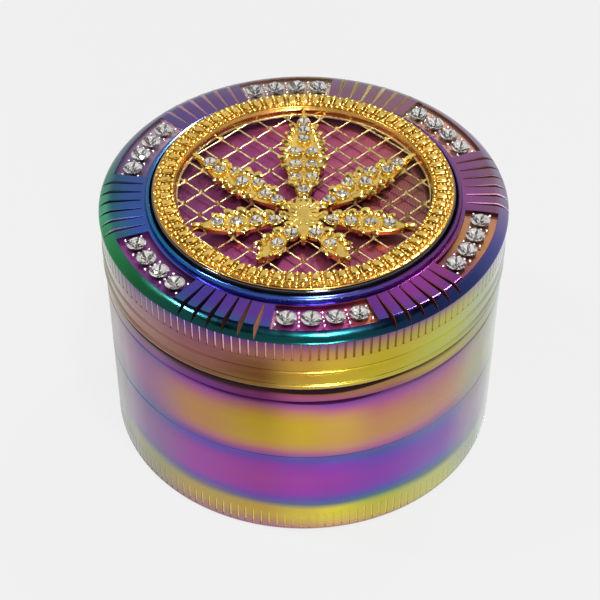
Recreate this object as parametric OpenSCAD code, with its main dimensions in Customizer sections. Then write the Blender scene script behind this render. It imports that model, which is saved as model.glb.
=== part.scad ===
// Four-piece hand grinder with a jewelled leaf medallion in its lid.
// Millimetres, +Z up. The origin is on the axis, on the surface that the base cup stands on.
// The front is -Y. Angles called az run from -Y towards +X.

/* [Overall] */
// Widest diameter, at the lid's lip
lid_d = 63; // [50:0.5:78]
// How much smaller in diameter the sections below the lid are
body_undersize = 0.5; // [0.2:0.1:1.5]
// Height of the base cup, foot to seam
base_h = 17.2; // [13:0.1:24]
// Height of the sieve section, seam to seam
sieve_h = 12.3; // [11.5:0.1:18]
// Height of the chamber's outer band
band_h = 2.6; // [2:0.1:6]
// Height of the lid, from its skirt's edge to its top face
lid_h = 10.9; // [9:0.1:14]
// Open seam between two sections
seam_gap = 0.1; // [0.05:0.05:0.3]
// Chamfer on the edges that meet at a seam
seam_chamfer = 0.2; // [0.1:0.05:0.4]

/* [Screw necks] */
// Length of a screw neck
neck_len = 4.5; // [4:0.1:6]
// Pitch of the screw threads
thread_pitch = 2; // [1.6:0.1:2.4]
// Height of a thread ridge above its neck or bore
thread_h = 0.45; // [0.3:0.05:0.6]
// Gap between a thread's crest and the wall that it faces
thread_clearance = 0.25; // [0.15:0.05:0.4]
// Width of a thread ridge at its root
thread_root_w = 0.8; // [0.6:0.05:0.9]
// Width of a thread ridge at its crest
thread_crest_w = 0.35; // [0.2:0.05:0.5]
// Wall of a threaded socket, outside the thread
socket_wall = 2.65; // [2:0.05:4]
// Wall of a screw neck, inside the thread
neck_wall = 1.9; // [1.4:0.1:3]
// Depth of a socket past the end of the neck in it
socket_spare = 0.3; // [0.2:0.1:1]

/* [Base cup] */
// Thickness of the base cup's floor
base_floor = 1.8; // [1.2:0.1:3]
// Radius where the base cup's floor meets its wall
base_fillet = 2; // [0.5:0.1:3]
// Rounding of the foot's edge
foot_round = 0.5; // [0.2:0.1:1]
// Lower edge of the base cup's knurl
base_knurl_lo = 0.6; // [0.6:0.1:1.5]
// Upper edge of the base cup's knurl
base_knurl_hi = 4; // [2.6:0.1:7]

/* [Knurl] */
// Distance between two notches round the rim
knurl_pitch = 1.27; // [1:0.01:2]
// Width of a notch at the surface
knurl_w = 0.34; // [0.2:0.01:0.6]
// Depth of a notch
knurl_depth = 0.28; // [0.1:0.01:0.4]

/* [Sieve] */
// Height of the screen above the neck's lower end
screen_rise = 1.5; // [1.2:0.1:2.5]
// Thickness of the woven screen
screen_t = 0.2; // [0.1:0.05:0.4]
// Width of the ledge that the screen sits against
screen_ledge = 1.2; // [0.8:0.1:2]
// Radial gap round the screen and its retaining ring
screen_gap = 0.05; // [0.02:0.01:0.1]
// Wall of the sieve section above the screen
sieve_wall = 3.6; // [3:0.1:5]

/* [Grinding chamber] */
// Thickness of the perforated floor
chamber_floor_t = 2.5; // [1.6:0.1:4]
// How far the floor's upper face lies above the seam under it
chamber_floor_rise = 1; // [0:0.1:2]
// Height of the neck that stands up inside the lid
collar_h = 5.9; // [4:0.1:6.5]
// Wall of that neck
collar_wall = 1.8; // [1.4:0.1:3]
// Radial gap between that neck and the lid's skirt
collar_gap = 0.3; // [0.2:0.05:0.5]
// Diameter of a drop hole
drop_d = 4.4; // [3:0.1:5]
// Distance between two drop holes round their circle
drop_pitch = 7.6; // [6:0.1:12]

/* [Teeth] */
// Radius of the innermost ring of teeth
tooth_ring_first = 10.5; // [9:0.1:14]
// Step between two rings of teeth
tooth_ring_step = 4; // [3.6:0.1:6]
// Length of a tooth, point to point, round its ring
tooth_len = 4; // [2.5:0.1:5]
// Width of a tooth across its ring
tooth_w = 2.6; // [1.6:0.1:2.9]
// Distance between two teeth round their ring
tooth_pitch = 10.2; // [7:0.1:14]
// Gap between a tooth's end and the face that it reaches towards
tooth_gap = 1.4; // [0.8:0.1:2.5]

/* [Lid] */
// Thickness of the skirt
skirt_wall = 2; // [1.4:0.1:3]
// Thickness of the top plate
plate_t = 3; // [2.8:0.1:4]
// Width of the rounded lip round the top face
lip_w = 2; // [0.6:0.1:2.4]
// Height of the rounded lip
lip_h = 1.3; // [0.6:0.1:1.8]
// Flatness of the lip's curve, 1 for a plain round one and 2 for a straight bevel
lip_flatness = 1.4; // [1:0.1:2]
// Height of the lid's knurl
lid_knurl_h = 3.4; // [1:0.1:3.5]
// Centre height of the lower bead above the skirt's edge
bead_lo = 0.7; // [0.5:0.1:2]
// Centre height of the upper bead above the skirt's edge
bead_hi = 3.5; // [2.8:0.1:5]
// Width of a bead
bead_w = 0.9; // [0.5:0.1:1.2]
// Depth of the groove between the beads
bead_groove = 0.3; // [0.1:0.05:0.5]
// Height of the nylon slip ring
slip_h = 1.8; // [1:0.1:2.5]
// Running gap above and below the slip ring
slip_gap = 0.05; // [0.02:0.01:0.1]

/* [Lid stones and slots] */
// Number of stone pockets, and of slot groups between them
group_count = 6; // [4:1:6]
// Angle of the first pocket's middle
group_az = 6; // [0:1:30]
// Stones in a pocket
pocket_stones = 4; // [2:1:4]
// Diameter of a lid stone
lid_stone_d = 3; // [2.4:0.1:3.2]
// Distance between two lid stones
lid_stone_pitch = 3.52; // [3.3:0.01:4]
// Width of a pocket across the rim
pocket_w = 5; // [4:0.1:5.4]
// Depth of a pocket
pocket_depth = 0.8; // [0.4:0.1:1]
// Spare length of a pocket past its end stones
pocket_spare = 0.5; // [0.2:0.1:1]
// Distance from a pocket to the lid's outer edge
pocket_edge = 1.6; // [1.5:0.1:3]
// Slots in a group
slot_count = 6; // [3:1:8]
// Width of a slot at the lip, where it is widest
slot_w = 0.95; // [0.3:0.05:1.2]
// Depth of a slot at its inner end
slot_depth_in = 0.35; // [0.2:0.05:0.6]
// Depth of a slot at the lip's outer edge
slot_depth_out = 1.2; // [0.6:0.05:1.25]

/* [Medallion] */
// Width of the raised collar round the medallion
rim_w = 1; // [0.6:0.1:1.5]
// Height of that collar above the top face
rim_h = 0.9; // [0.4:0.1:1.4]
// Distance from the collar's foot to a pocket
rim_to_pocket = 0.5; // [0.3:0.1:1]
// Depth of the medallion's recess below the top face
recess_depth = 0.9; // [0.5:0.1:1.2]
// Radial gap between the recess and the black seat
seat_gap = 0.1; // [0.05:0.05:0.2]
// Width of the gold ring
ring_w = 3.3; // [2.6:0.1:4]
// Height of the gold ring's top above the lid's top face
ring_rise = 2.2; // [1.8:0.1:3]
// Thickness of the gold ring's toothed flange
ring_flange = 0.9; // [0.6:0.1:1.1]
// Teeth round the gold ring
ring_teeth = 70; // [40:1:80]
// Height of the gold ring's teeth
ring_tooth_h = 0.45; // [0.2:0.05:0.5]
// Thickness of the gold ring's inner skirt
ring_skirt = 0.6; // [0.4:0.1:1]
// Ledge of the black seat that the lattice lies on
seat_ledge = 0.8; // [0.5:0.1:1.2]
// Height of the lattice above the recess's floor
lattice_rise = 0.8; // [0.4:0.1:1]
// Thickness of the lattice
lattice_t = 0.3; // [0.2:0.05:0.5]
// Distance between two wires of the lattice
lattice_pitch = 3.7; // [3:0.1:5]
// Width of a lattice wire
lattice_wire = 0.32; // [0.2:0.02:0.5]

/* [Leaf] */
// Height of the leaf above the lattice
leaf_t = 1.4; // [0.8:0.1:1.6]
// Diameter of a leaf stone, at the leaf's drawn size
leaf_stone_d = 2; // [1.6:0.1:2]
// Depth of a leaf stone's seat
leaf_seat_depth = 0.6; // [0.4:0.1:0.7]
// Gap round a stone in its seat
stone_gap = 0.04; // [0.02:0.01:0.1]

/* [Magnets] */
// Diameter of a magnet
magnet_d = 6; // [4:0.5:8]
// Thickness of a magnet
magnet_t = 2; // [1.2:0.1:3]
// Wall of the boss round a magnet
magnet_wall = 2; // [1.2:0.1:2.5]
// Gap between the two magnets' bosses
magnet_boss_gap = 0.6; // [0.4:0.1:1.5]

/* [Hidden] */
$fn = 96;

// ---- Heights of the seams and faces ----
sieve_z = base_h;
chamber_z = sieve_z + sieve_h;
lid_z = chamber_z + band_h;
top_z = lid_z + lid_h;
plate_z = top_z - plate_t;
collar_top = lid_z + collar_h;
chamber_floor_z = chamber_z + chamber_floor_rise;
recess_z = top_z - recess_depth;
lattice_z = recess_z + lattice_rise;
lattice_top = lattice_z + lattice_t;
ring_top = top_z + ring_rise;
flange_z = ring_top - ring_flange;
leaf_top = lattice_top + leaf_t;
pocket_z = top_z - pocket_depth;
screen_z = sieve_z - neck_len + screen_rise;

// ---- Radii, from the outside in ----
lid_r = lid_d / 2;
body_r = lid_r - body_undersize / 2;
socket_r = body_r - socket_wall;
neck_r = socket_r - thread_clearance - thread_h;
neck_in_r = neck_r - neck_wall;
skirt_in_r = lid_r - skirt_wall;
collar_r = skirt_in_r - collar_gap;
chamber_r = collar_r - collar_wall;
screen_bore_r = neck_in_r + screen_ledge / 2;
screen_hole_r = screen_bore_r - screen_ledge;
sieve_in_r = body_r - sieve_wall;
pocket_out_r = lid_r - pocket_edge;
pocket_in_r = pocket_out_r - pocket_w;
stone_circle_r = (pocket_out_r + pocket_in_r) / 2;
rim_out_r = pocket_in_r - rim_to_pocket;
recess_r = rim_out_r - rim_w;
seat_r = recess_r - seat_gap;
ring_r = seat_r - 2 * seat_gap;
ring_in_r = ring_r - ring_w;
seat_in_r = ring_in_r + ring_skirt;
lattice_open_r = seat_in_r - seat_ledge;

// ---- Patterns round the axis ----
group_step = 360 / group_count;
stone_step = lid_stone_pitch / stone_circle_r * 180 / PI;
pocket_len = (pocket_stones - 1) * lid_stone_pitch + lid_stone_d + 2 * pocket_spare;
pocket_angle = pocket_len / stone_circle_r * 180 / PI;
slot_edge_share = 0.7;
slot_step = (group_step - pocket_angle) / (slot_count + slot_edge_share);
tooth_rings = 1 + floor((chamber_r - tooth_gap - tooth_w / 2 - tooth_ring_first) / tooth_ring_step);
boss_r = magnet_d / 2 + magnet_wall;
boss_split_z = (collar_top + chamber_floor_z) / 2 + tooth_gap;
chamber_boss_top = boss_split_z - magnet_boss_gap / 2;
lid_boss_bottom = boss_split_z + magnet_boss_gap / 2;
magnet_gap = 0.05;
weld = 0.02;

// ---- Threads ----
thread_steps = 48;
thread_sink = 0.25;
thread_end_taper = 5;
// Centre heights of the ridges, counted from the neck's lower end
male_start = 0.9;
male_end = neck_len - 0.9;
female_start = male_start + thread_pitch / 2;
female_end = neck_len - 0.7;

// ---- Leaf, drawn for a gold ring of leaf_drawn_r inside and sized to the real one ----
leaf_drawn_r = 19.8;
leaf_k = ring_in_r / leaf_drawn_r;
leaf_hub = [0, -6.5];
// Each leaflet: heading from the hub counted from +X, length, half-width, serrations a side
leaf_top_blade = [90, 25.8, 3.7, 9];
leaf_upper_blade = [39.5, 22.7, 3, 8];
leaf_side_blade = [-8.6, 17.2, 2.8, 7];
leaf_lower_blade = [-48, 10.6, 2.3, 4];
leaf_stem_blade = [-90, 5.8, 1.3, 2];
leaf_widest = 0.42;
leaf_serration = 0.5;
// Least angle that a leaflet keeps to beside its heading, and the radius where two leaflets meet
leaf_spread = 16;
leaf_valley_r = 2.3;
// Stone rows: start along and across the leaflet, step along it
top_single_start = 5.6;
top_pair_start = 8.4;
top_pair_step = 3.15;
top_pair_half = 1.3;
top_row_start = 18;
top_row_step = 2.1;
upper_row_start = 5.1;
upper_row_step = 2.3;
upper_zigzag_mid = 0.4;
upper_zigzag = 0.7;
side_row_start = [4.3, -1.5];
side_row_step = 2.85;
side_row_heading = -4;
lower_row_start = [1.8, -4.5];
lower_row_step = 3.1;
lower_row_heading = -47;

// ---- Stones: a pavilion cone below the girdle and a crown above it, as shares of the radius ----
stone_culet = 0.3;
stone_table = 0.6;
stone_pavilion_h = 0.72;
stone_crown_h = 0.36;
lid_stone_seat_depth = 0.35;

// Turns the +X direction to the angle az
module at_az(az) {
    rotate([0, 0, az - 90]) children();
}

// A solid of revolution from an outline of [radius, height] points
module turned(points) {
    rotate_extrude() polygon(points);
}

// A plain ring between two radii and two heights
module ring(r_in, r_out, z_lo, z_hi) {
    turned([[r_in, z_lo], [r_out, z_lo], [r_out, z_hi], [r_in, z_hi]]);
}

// A quarter-ellipse from angle a0 to a1 about a centre, as outline points
function arc(c, rx, ry, a0, a1, n = 8) =
    [for (i = [0 : n]) let (a = a0 + (a1 - a0) * i / n) [c[0] + rx * cos(a), c[1] + ry * sin(a)]];

// One helical ridge. near_r is its root, sunk in the wall it grows from, and far_r its crest.
module helix_ridge(near_r, far_r, z_lo, z_hi) {
    outward = far_r > near_r;
    turns = (z_hi - z_lo) / thread_pitch;
    steps = ceil(turns * thread_steps);
    function fade(i) = min(1, 0.1 + min(i, steps - i) / thread_end_taper);
    function section(i) =
        let (far = near_r + (far_r - near_r) * fade(i), far_w = thread_crest_w / 2)
        let (near_w = thread_root_w / 2)
        outward ? [[near_r, -near_w], [far, -far_w], [far, far_w], [near_r, near_w]]
                : [[far, -far_w], [near_r, -near_w], [near_r, near_w], [far, far_w]];
    points = [for (i = [0 : steps]) let (a = 360 * turns * i / steps, z = z_lo + (z_hi - z_lo) * i / steps)
        for (p = section(i)) [p[0] * cos(a), p[0] * sin(a), z + p[1]]];
    sides = [for (i = [0 : steps - 1], k = [0 : 3])
        let (a = 4 * i + k, b = 4 * i + (k + 1) % 4)
        for (face = [[a, b, b + 4], [a, b + 4, a + 4]]) face];
    last = 4 * steps;
    polyhedron(points = points, faces = concat([[3, 2, 1, 0]], sides,
        [[last, last + 1, last + 2, last + 3]]));
}

// The male thread of a neck whose lower end is at z
module male_thread(z) {
    helix_ridge(neck_r - thread_sink, neck_r + thread_h, z + male_start, z + male_end);
}

// The female thread of the socket that takes that neck
module female_thread(z) {
    helix_ridge(socket_r + thread_sink, socket_r - thread_h, z + female_start, z + female_end);
}

// Outline of a knurled rim: straight land between V notches
function knurl_outline(r) =
    let (n = round(2 * PI * r / knurl_pitch), half = knurl_w / 2 / r * 180 / PI)
    [for (i = [0 : n - 1]) let (a = 360 * i / n)
        for (p = [[r, a - half], [r - knurl_depth, a], [r, a + half]])
            [p[0] * cos(p[1]), p[0] * sin(p[1])]];

// A knurled band that replaces the plain wall between two heights
module knurl_band(r, z_lo, z_hi) {
    difference() {
        translate([0, 0, z_lo]) linear_extrude(z_hi - z_lo) polygon(knurl_outline(r - weld));
        translate([0, 0, z_lo - 1]) cylinder(r = r - 2 * knurl_depth, h = z_hi - z_lo + 2);
    }
}

// ---- Base cup ----
module base_cup() {
    neck_z = sieve_z - neck_len;
    cup_in_r = socket_r - 1;
    inner_r = body_r - 1.5 * knurl_depth;
    rim_z = sieve_z - seam_gap;
    color("mediumorchid") {
        turned(concat(
            [[0, 0]],
            arc([body_r - foot_round, foot_round], foot_round, foot_round, -90, 0, 4),
            [[body_r, base_knurl_lo], [inner_r, base_knurl_lo], [inner_r, base_knurl_hi],
             [body_r, base_knurl_hi], [body_r, rim_z - seam_chamfer], [body_r - seam_chamfer, rim_z],
             [socket_r, rim_z], [socket_r, neck_z - socket_spare], [cup_in_r, neck_z - socket_spare - 1]],
            arc([cup_in_r - base_fillet, base_floor + base_fillet], base_fillet, base_fillet, 0, -90),
            [[0, base_floor]]));
        knurl_band(body_r, base_knurl_lo, base_knurl_hi);
        female_thread(neck_z);
    }
}

// ---- Sieve section ----
module sieve_body() {
    neck_z = sieve_z - neck_len;
    upper_neck_z = chamber_z - neck_len;
    rim_z = chamber_z - seam_gap;
    funnel = sieve_in_r - screen_hole_r;
    color("goldenrod") {
        turned([[neck_r - seam_chamfer, neck_z], [neck_r, neck_z + seam_chamfer], [neck_r, sieve_z],
            [body_r - seam_chamfer, sieve_z], [body_r, sieve_z + seam_chamfer],
            [body_r, rim_z - seam_chamfer], [body_r - seam_chamfer, rim_z], [socket_r, rim_z],
            [socket_r, upper_neck_z - socket_spare], [sieve_in_r, upper_neck_z - socket_spare],
            [sieve_in_r, sieve_z + funnel], [screen_hole_r, sieve_z], [screen_hole_r, screen_z + screen_t],
            [screen_bore_r, screen_z + screen_t], [screen_bore_r, neck_z]]);
        male_thread(neck_z);
        female_thread(upper_neck_z);
    }
}

// Woven gauze, as a plain disc
module sieve_screen() {
    color("silver")
        translate([0, 0, screen_z]) cylinder(r = screen_bore_r - screen_gap, h = screen_t);
}

// Ring that holds the gauze against its ledge
module screen_ring() {
    color("dimgray")
        ring(screen_hole_r, screen_bore_r - screen_gap, sieve_z - neck_len + 0.2, screen_z - 0.05);
}

// ---- Teeth ----
// A diamond tooth, its points along the ring it stands in
module tooth(z_lo, z_hi) {
    translate([0, 0, z_lo]) linear_extrude(z_hi - z_lo)
        polygon([[-tooth_w / 2, 0], [0, -tooth_len / 2], [tooth_w / 2, 0], [0, tooth_len / 2]]);
}

// Every other ring of teeth, counted from first, 0 for the chamber's and 1 for the lid's
module tooth_set(first, z_lo, z_hi) {
    for (i = [first : 2 : tooth_rings - 1]) {
        r = tooth_ring_first + i * tooth_ring_step;
        n = floor(2 * PI * r / tooth_pitch);
        for (k = [0 : n - 1]) rotate([0, 0, 360 * k / n]) translate([r, 0, 0]) tooth(z_lo, z_hi);
    }
}

// Drop holes under the circles that the lid's teeth sweep
module drop_holes() {
    for (i = [1 : 2 : tooth_rings - 1]) {
        r = tooth_ring_first + i * tooth_ring_step;
        n = floor(2 * PI * r / drop_pitch);
        for (k = [0 : n - 1]) rotate([0, 0, 360 * k / n])
            translate([r, 0, chamber_floor_z - chamber_floor_t - 1])
                cylinder(d = drop_d, h = chamber_floor_t + 2, $fn = 32);
    }
}

// ---- Grinding chamber ----
module chamber_body() {
    neck_z = chamber_z - neck_len;
    floor_lo = chamber_floor_z - chamber_floor_t;
    color("mediumvioletred") {
        difference() {
            turned([[0, floor_lo], [neck_in_r, floor_lo], [neck_in_r, neck_z],
                [neck_r - seam_chamfer, neck_z], [neck_r, neck_z + seam_chamfer], [neck_r, chamber_z],
                [body_r - seam_chamfer, chamber_z],
                [body_r, chamber_z + seam_chamfer], [body_r, lid_z - seam_chamfer],
                [body_r - seam_chamfer, lid_z], [collar_r, lid_z], [collar_r, collar_top - seam_chamfer],
                [collar_r - seam_chamfer, collar_top], [chamber_r, collar_top],
                [chamber_r, chamber_floor_z], [0, chamber_floor_z]]);
            drop_holes();
        }
        tooth_set(0, chamber_floor_z - weld, plate_z - tooth_gap);
        difference() {
            translate([0, 0, chamber_floor_z - weld])
                cylinder(r = boss_r, h = chamber_boss_top - chamber_floor_z + weld);
            translate([0, 0, chamber_boss_top - magnet_t - magnet_gap])
                cylinder(r = magnet_d / 2 + magnet_gap, h = magnet_t + 1);
        }
        male_thread(neck_z);
    }
}

module chamber_magnet() {
    color("lightgray")
        translate([0, 0, chamber_boss_top - magnet_t]) cylinder(d = magnet_d, h = magnet_t);
}

// Nylon ring that the lid turns on
module slip_ring() {
    color("white")
        ring(chamber_r + 0.2, collar_r, collar_top + slip_gap, collar_top + slip_gap + slip_h);
}

// ---- Lid ----
// The rim's outline from the skirt's edge up to the knurl, with the two beads
function skirt_outline() =
    let (lo = lid_z + seam_gap, hi = top_z - lip_h - lid_knurl_h, groove_r = lid_r - bead_groove)
    concat(
        [[lid_r - bead_groove, lo]],
        arc([lid_r - bead_groove, lid_z + bead_lo], bead_groove, bead_w / 2, -80, 80, 8),
        arc([lid_r - bead_groove, lid_z + bead_hi], bead_groove, bead_w / 2, -80, 80, 8),
        [[lid_r - 0.6 * bead_groove, lid_z + bead_hi + 0.6 * bead_w], [lid_r - 0.4 * bead_groove, hi]]);

// A pocket for one row of stones
module pocket(az) {
    at_az(az) rotate([0, 0, -pocket_angle / 2]) rotate_extrude(angle = pocket_angle)
        translate([pocket_in_r, pocket_z]) square([pocket_w, pocket_depth + 1]);
}

// Radial V-shaped slots between two pockets, deeper and wider towards the lip, which they notch
module slots(az) {
    slope = atan((slot_depth_out - slot_depth_in) / (lid_r - pocket_in_r));
    high = slot_depth_out + 1;
    half = high * slot_w / 2 / slot_depth_out;
    for (k = [0 : slot_count - 1]) at_az(az + (k - (slot_count - 1) / 2) * slot_step)
        translate([pocket_in_r, 0, top_z - slot_depth_in]) rotate([0, slope, 0]) rotate([90, 0, 90])
            linear_extrude((lid_r + 1 - pocket_in_r) / cos(slope))
                polygon([[0, 0], [half, high], [-half, high]]);
}

module lid() {
    knurl_z = top_z - lip_h - lid_knurl_h;
    land_r = lid_r - 0.4 * bead_groove;
    core_r = land_r - 1.5 * knurl_depth;
    seat_z = collar_top + slip_h + 2 * slip_gap;
    color("mediumpurple") {
        difference() {
            turned(concat(
                skirt_outline(),
                [[core_r, knurl_z], [core_r, knurl_z + lid_knurl_h], [land_r, knurl_z + lid_knurl_h]],
                [for (i = [0 : 8])
                    [lid_r - lip_w * (1 - pow(cos(90 * i / 8), lip_flatness)),
                     top_z - lip_h * (1 - pow(sin(90 * i / 8), lip_flatness))]],
                [[rim_out_r, top_z]],
                arc([rim_out_r - rim_w / 2, top_z], rim_w / 2, rim_h, 0, 180),
                [[recess_r, recess_z], [0, recess_z], [0, plate_z], [skirt_in_r - collar_wall, plate_z],
                 [skirt_in_r - collar_wall, seat_z], [skirt_in_r, seat_z], [skirt_in_r, lid_z + seam_gap]]));
            for (g = [0 : group_count - 1]) {
                pocket(group_az + g * group_step);
                slots(group_az + (g + 0.5) * group_step);
                lid_stone_seats(g);
            }
        }
        knurl_band(land_r, knurl_z, knurl_z + lid_knurl_h);
        tooth_set(1, chamber_floor_z + tooth_gap, plate_z + weld);
        difference() {
            translate([0, 0, lid_boss_bottom]) cylinder(r = boss_r, h = plate_z - lid_boss_bottom + weld);
            translate([0, 0, lid_boss_bottom - 1])
                cylinder(r = magnet_d / 2 + magnet_gap, h = magnet_t + 1 + magnet_gap);
        }
    }
}

module lid_magnet() {
    color("lightgray") translate([0, 0, lid_boss_bottom]) cylinder(d = magnet_d, h = magnet_t);
}

// ---- Stones ----
// A round cut stone standing on its culet at z = 0
module stone(r) {
    cylinder(r1 = stone_culet * r, r2 = r, h = stone_pavilion_h * r, $fn = 32);
    translate([0, 0, stone_pavilion_h * r])
        cylinder(r1 = r, r2 = stone_table * r, h = stone_crown_h * r, $fn = 32);
}

// Where the stones of one pocket stand
module each_lid_stone(g) {
    for (k = [0 : pocket_stones - 1])
        at_az(group_az + g * group_step + (k - (pocket_stones - 1) / 2) * stone_step)
            translate([stone_circle_r, 0, pocket_z - lid_stone_seat_depth]) children();
}

module lid_stone_seats(g) {
    each_lid_stone(g) cylinder(d = 0.8 * lid_stone_d, h = 2, $fn = 32);
}

module lid_stones(g) {
    color("white") each_lid_stone(g) stone(lid_stone_d / 2);
}

// ---- Medallion ----
// Black ring that the gold ring and the lattice stand on
module medallion_seat() {
    color("black")
        turned([[lattice_open_r, recess_z], [seat_r, recess_z], [seat_r, flange_z], [seat_in_r, flange_z],
            [seat_in_r, lattice_z], [lattice_open_r, lattice_z]]);
}

// Gold ring with a skirt inside the black seat and block teeth on its flange
module medallion_ring() {
    land_z = ring_top - ring_tooth_h;
    step = 360 / ring_teeth;
    tooth_in = ring_in_r + 0.2;
    tooth_out = ring_r - 0.3;
    notch_in = ring_in_r + 0.7;
    color("gold") {
        turned([[ring_in_r - 0.3, lattice_top], [seat_in_r, lattice_top], [seat_in_r, flange_z],
            [ring_r, flange_z], [ring_r, land_z], [ring_in_r, land_z]]);
        translate([0, 0, land_z - weld]) linear_extrude(ring_tooth_h + weld) difference() {
            polygon([for (i = [0 : ring_teeth - 1])
                for (p = [[tooth_out, -0.32], [tooth_out, 0.32], [notch_in, 0.34], [notch_in, 0.66]])
                    [p[0] * cos((i + p[1]) * step), p[0] * sin((i + p[1]) * step)]]);
            circle(r = tooth_in);
        }
    }
}

// Diamond grid of wires in a thin rim
module medallion_lattice() {
    reach = seat_in_r - 0.2;
    wires = floor(reach / lattice_pitch);
    color("khaki") {
        ring(lattice_open_r - 0.3, seat_in_r, lattice_z, lattice_top);
        for (turn = [45, -45], i = [-wires : wires]) rotate([0, 0, turn]) {
            half = sqrt(reach * reach - i * i * lattice_pitch * lattice_pitch) - 0.1;
            translate([-half, i * lattice_pitch - lattice_wire / 2, lattice_z])
                cube([2 * half, lattice_wire, lattice_t]);
        }
    }
}

// ---- Leaf ----
// Half the width of a leaflet at the share t of its length
function blade_half(blade, t) = min(tan(leaf_spread) * blade[1] * t, blade[2] * (t < leaf_widest
    ? sqrt(sin(90 * t / leaf_widest)) : pow(cos(90 * (t - leaf_widest) / (1 - leaf_widest)), 0.8)));

function polar(r, a) = [r * cos(a), r * sin(a)];
function turned_by(p, a) = [p[0] * cos(a) - p[1] * sin(a), p[0] * sin(a) + p[1] * cos(a)];
function reversed(list) = [for (i = [len(list) - 1 : -1 : 0]) list[i]];

// One edge of a leaflet, stepped into points, from the hub outwards
function blade_edge(blade, side) =
    let (n = 2 * blade[3])
    [for (i = [2 : n - 1]) let (t = i / n, half = blade_half(blade, t) - (i % 2) * leaf_serration)
        turned_by([blade[1] * t, side * max(0.2, half)], blade[0])];

// The leaf's outline round its hub, leaflet by leaflet
function other_side(blade) = [180 - blade[0], blade[1], blade[2], blade[3]];
leaf_blades = [leaf_stem_blade, leaf_lower_blade, leaf_side_blade, leaf_upper_blade, leaf_top_blade,
    other_side(leaf_upper_blade), other_side(leaf_side_blade), other_side(leaf_lower_blade)];
function leaf_outline() =
    [for (i = [0 : len(leaf_blades) - 1])
        let (blade = leaf_blades[i], next = leaf_blades[(i + 1) % len(leaf_blades)])
        let (turn = next[0] > blade[0] ? 0 : 360)
        for (p = concat(blade_edge(blade, -1), [polar(blade[1], blade[0])],
            reversed(blade_edge(blade, 1)), [polar(leaf_valley_r, (blade[0] + next[0] + turn) / 2)])) p];

// Stone centres on each leaflet, at the drawn size
leaf_heading = [cos(leaf_upper_blade[0]), sin(leaf_upper_blade[0])];
leaf_across = [-leaf_heading[1], leaf_heading[0]];
top_stones = concat([leaf_hub + [0, top_single_start]],
    [for (i = [0 : 2], side = [-1, 1]) leaf_hub + [side * top_pair_half, top_pair_start + i * top_pair_step]],
    [for (i = [0 : 2]) leaf_hub + [0, top_row_start + i * top_row_step]]);
upper_stones = [for (i = [0 : 6])
    let (v = i == 0 || i == 6 ? 0 : upper_zigzag_mid + (i % 2 == 0 ? upper_zigzag : -upper_zigzag))
    leaf_hub + (upper_row_start + i * upper_row_step) * leaf_heading + v * leaf_across];
side_stones = [for (i = [0 : 3]) leaf_hub + side_row_start
    + i * side_row_step * [cos(side_row_heading), sin(side_row_heading)]];
lower_stones = [for (i = [0 : 1]) leaf_hub + lower_row_start
    + i * lower_row_step * [cos(lower_row_heading), sin(lower_row_heading)]];

module each_leaf_stone(centres, mirror_x = 0) {
    mirror([mirror_x, 0, 0]) for (c = centres)
        translate([c[0] * leaf_k, c[1] * leaf_k, leaf_top - leaf_seat_depth]) children();
}

module leaf_seats() {
    seat_r_here = (leaf_stone_d / 2 + stone_gap) * leaf_k;
    each_leaf_stone(top_stones) cylinder(r = seat_r_here, h = 2, $fn = 32);
    for (side = [0, 1]) each_leaf_stone(concat(upper_stones, side_stones, lower_stones), side)
        cylinder(r = seat_r_here, h = 2, $fn = 32);
}

module leaf_emblem() {
    color("gold") difference() {
        translate([leaf_hub[0] * leaf_k, leaf_hub[1] * leaf_k, lattice_top])
            linear_extrude(leaf_t) polygon(leaf_k * leaf_outline());
        leaf_seats();
    }
}

module leaf_stones(centres, mirror_x = 0) {
    color("white") each_leaf_stone(centres, mirror_x) stone(leaf_stone_d / 2 * leaf_k);
}

base_cup();
sieve_body();
sieve_screen();
screen_ring();
chamber_body();
chamber_magnet();
slip_ring();
lid();
lid_magnet();
medallion_seat();
medallion_ring();
medallion_lattice();
leaf_emblem();
leaf_stones(top_stones);  // leaf_stones_top
leaf_stones(upper_stones, 1);  // leaf_stones_upper_left
leaf_stones(upper_stones);  // leaf_stones_upper_right
leaf_stones(side_stones, 1);  // leaf_stones_side_left
leaf_stones(side_stones);  // leaf_stones_side_right
leaf_stones(lower_stones, 1);  // leaf_stones_lower_left
leaf_stones(lower_stones);  // leaf_stones_lower_right
lid_stones(0);  // lid_stones_1
lid_stones(1);  // lid_stones_2
lid_stones(2);  // lid_stones_3
lid_stones(3);  // lid_stones_4
lid_stones(4);  // lid_stones_5
lid_stones(5);  // lid_stones_6
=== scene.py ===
"""Looks of the hand grinder: materials for the CAD parts, and the medallion's fine metalwork and cut stones.

Sizes are in millimetres and turned into metres as each mesh is made. Angles called az run from the
front, -Y, towards +X. Colours are given as they should look in even light, 0 to 255.
"""

import math
import random

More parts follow.
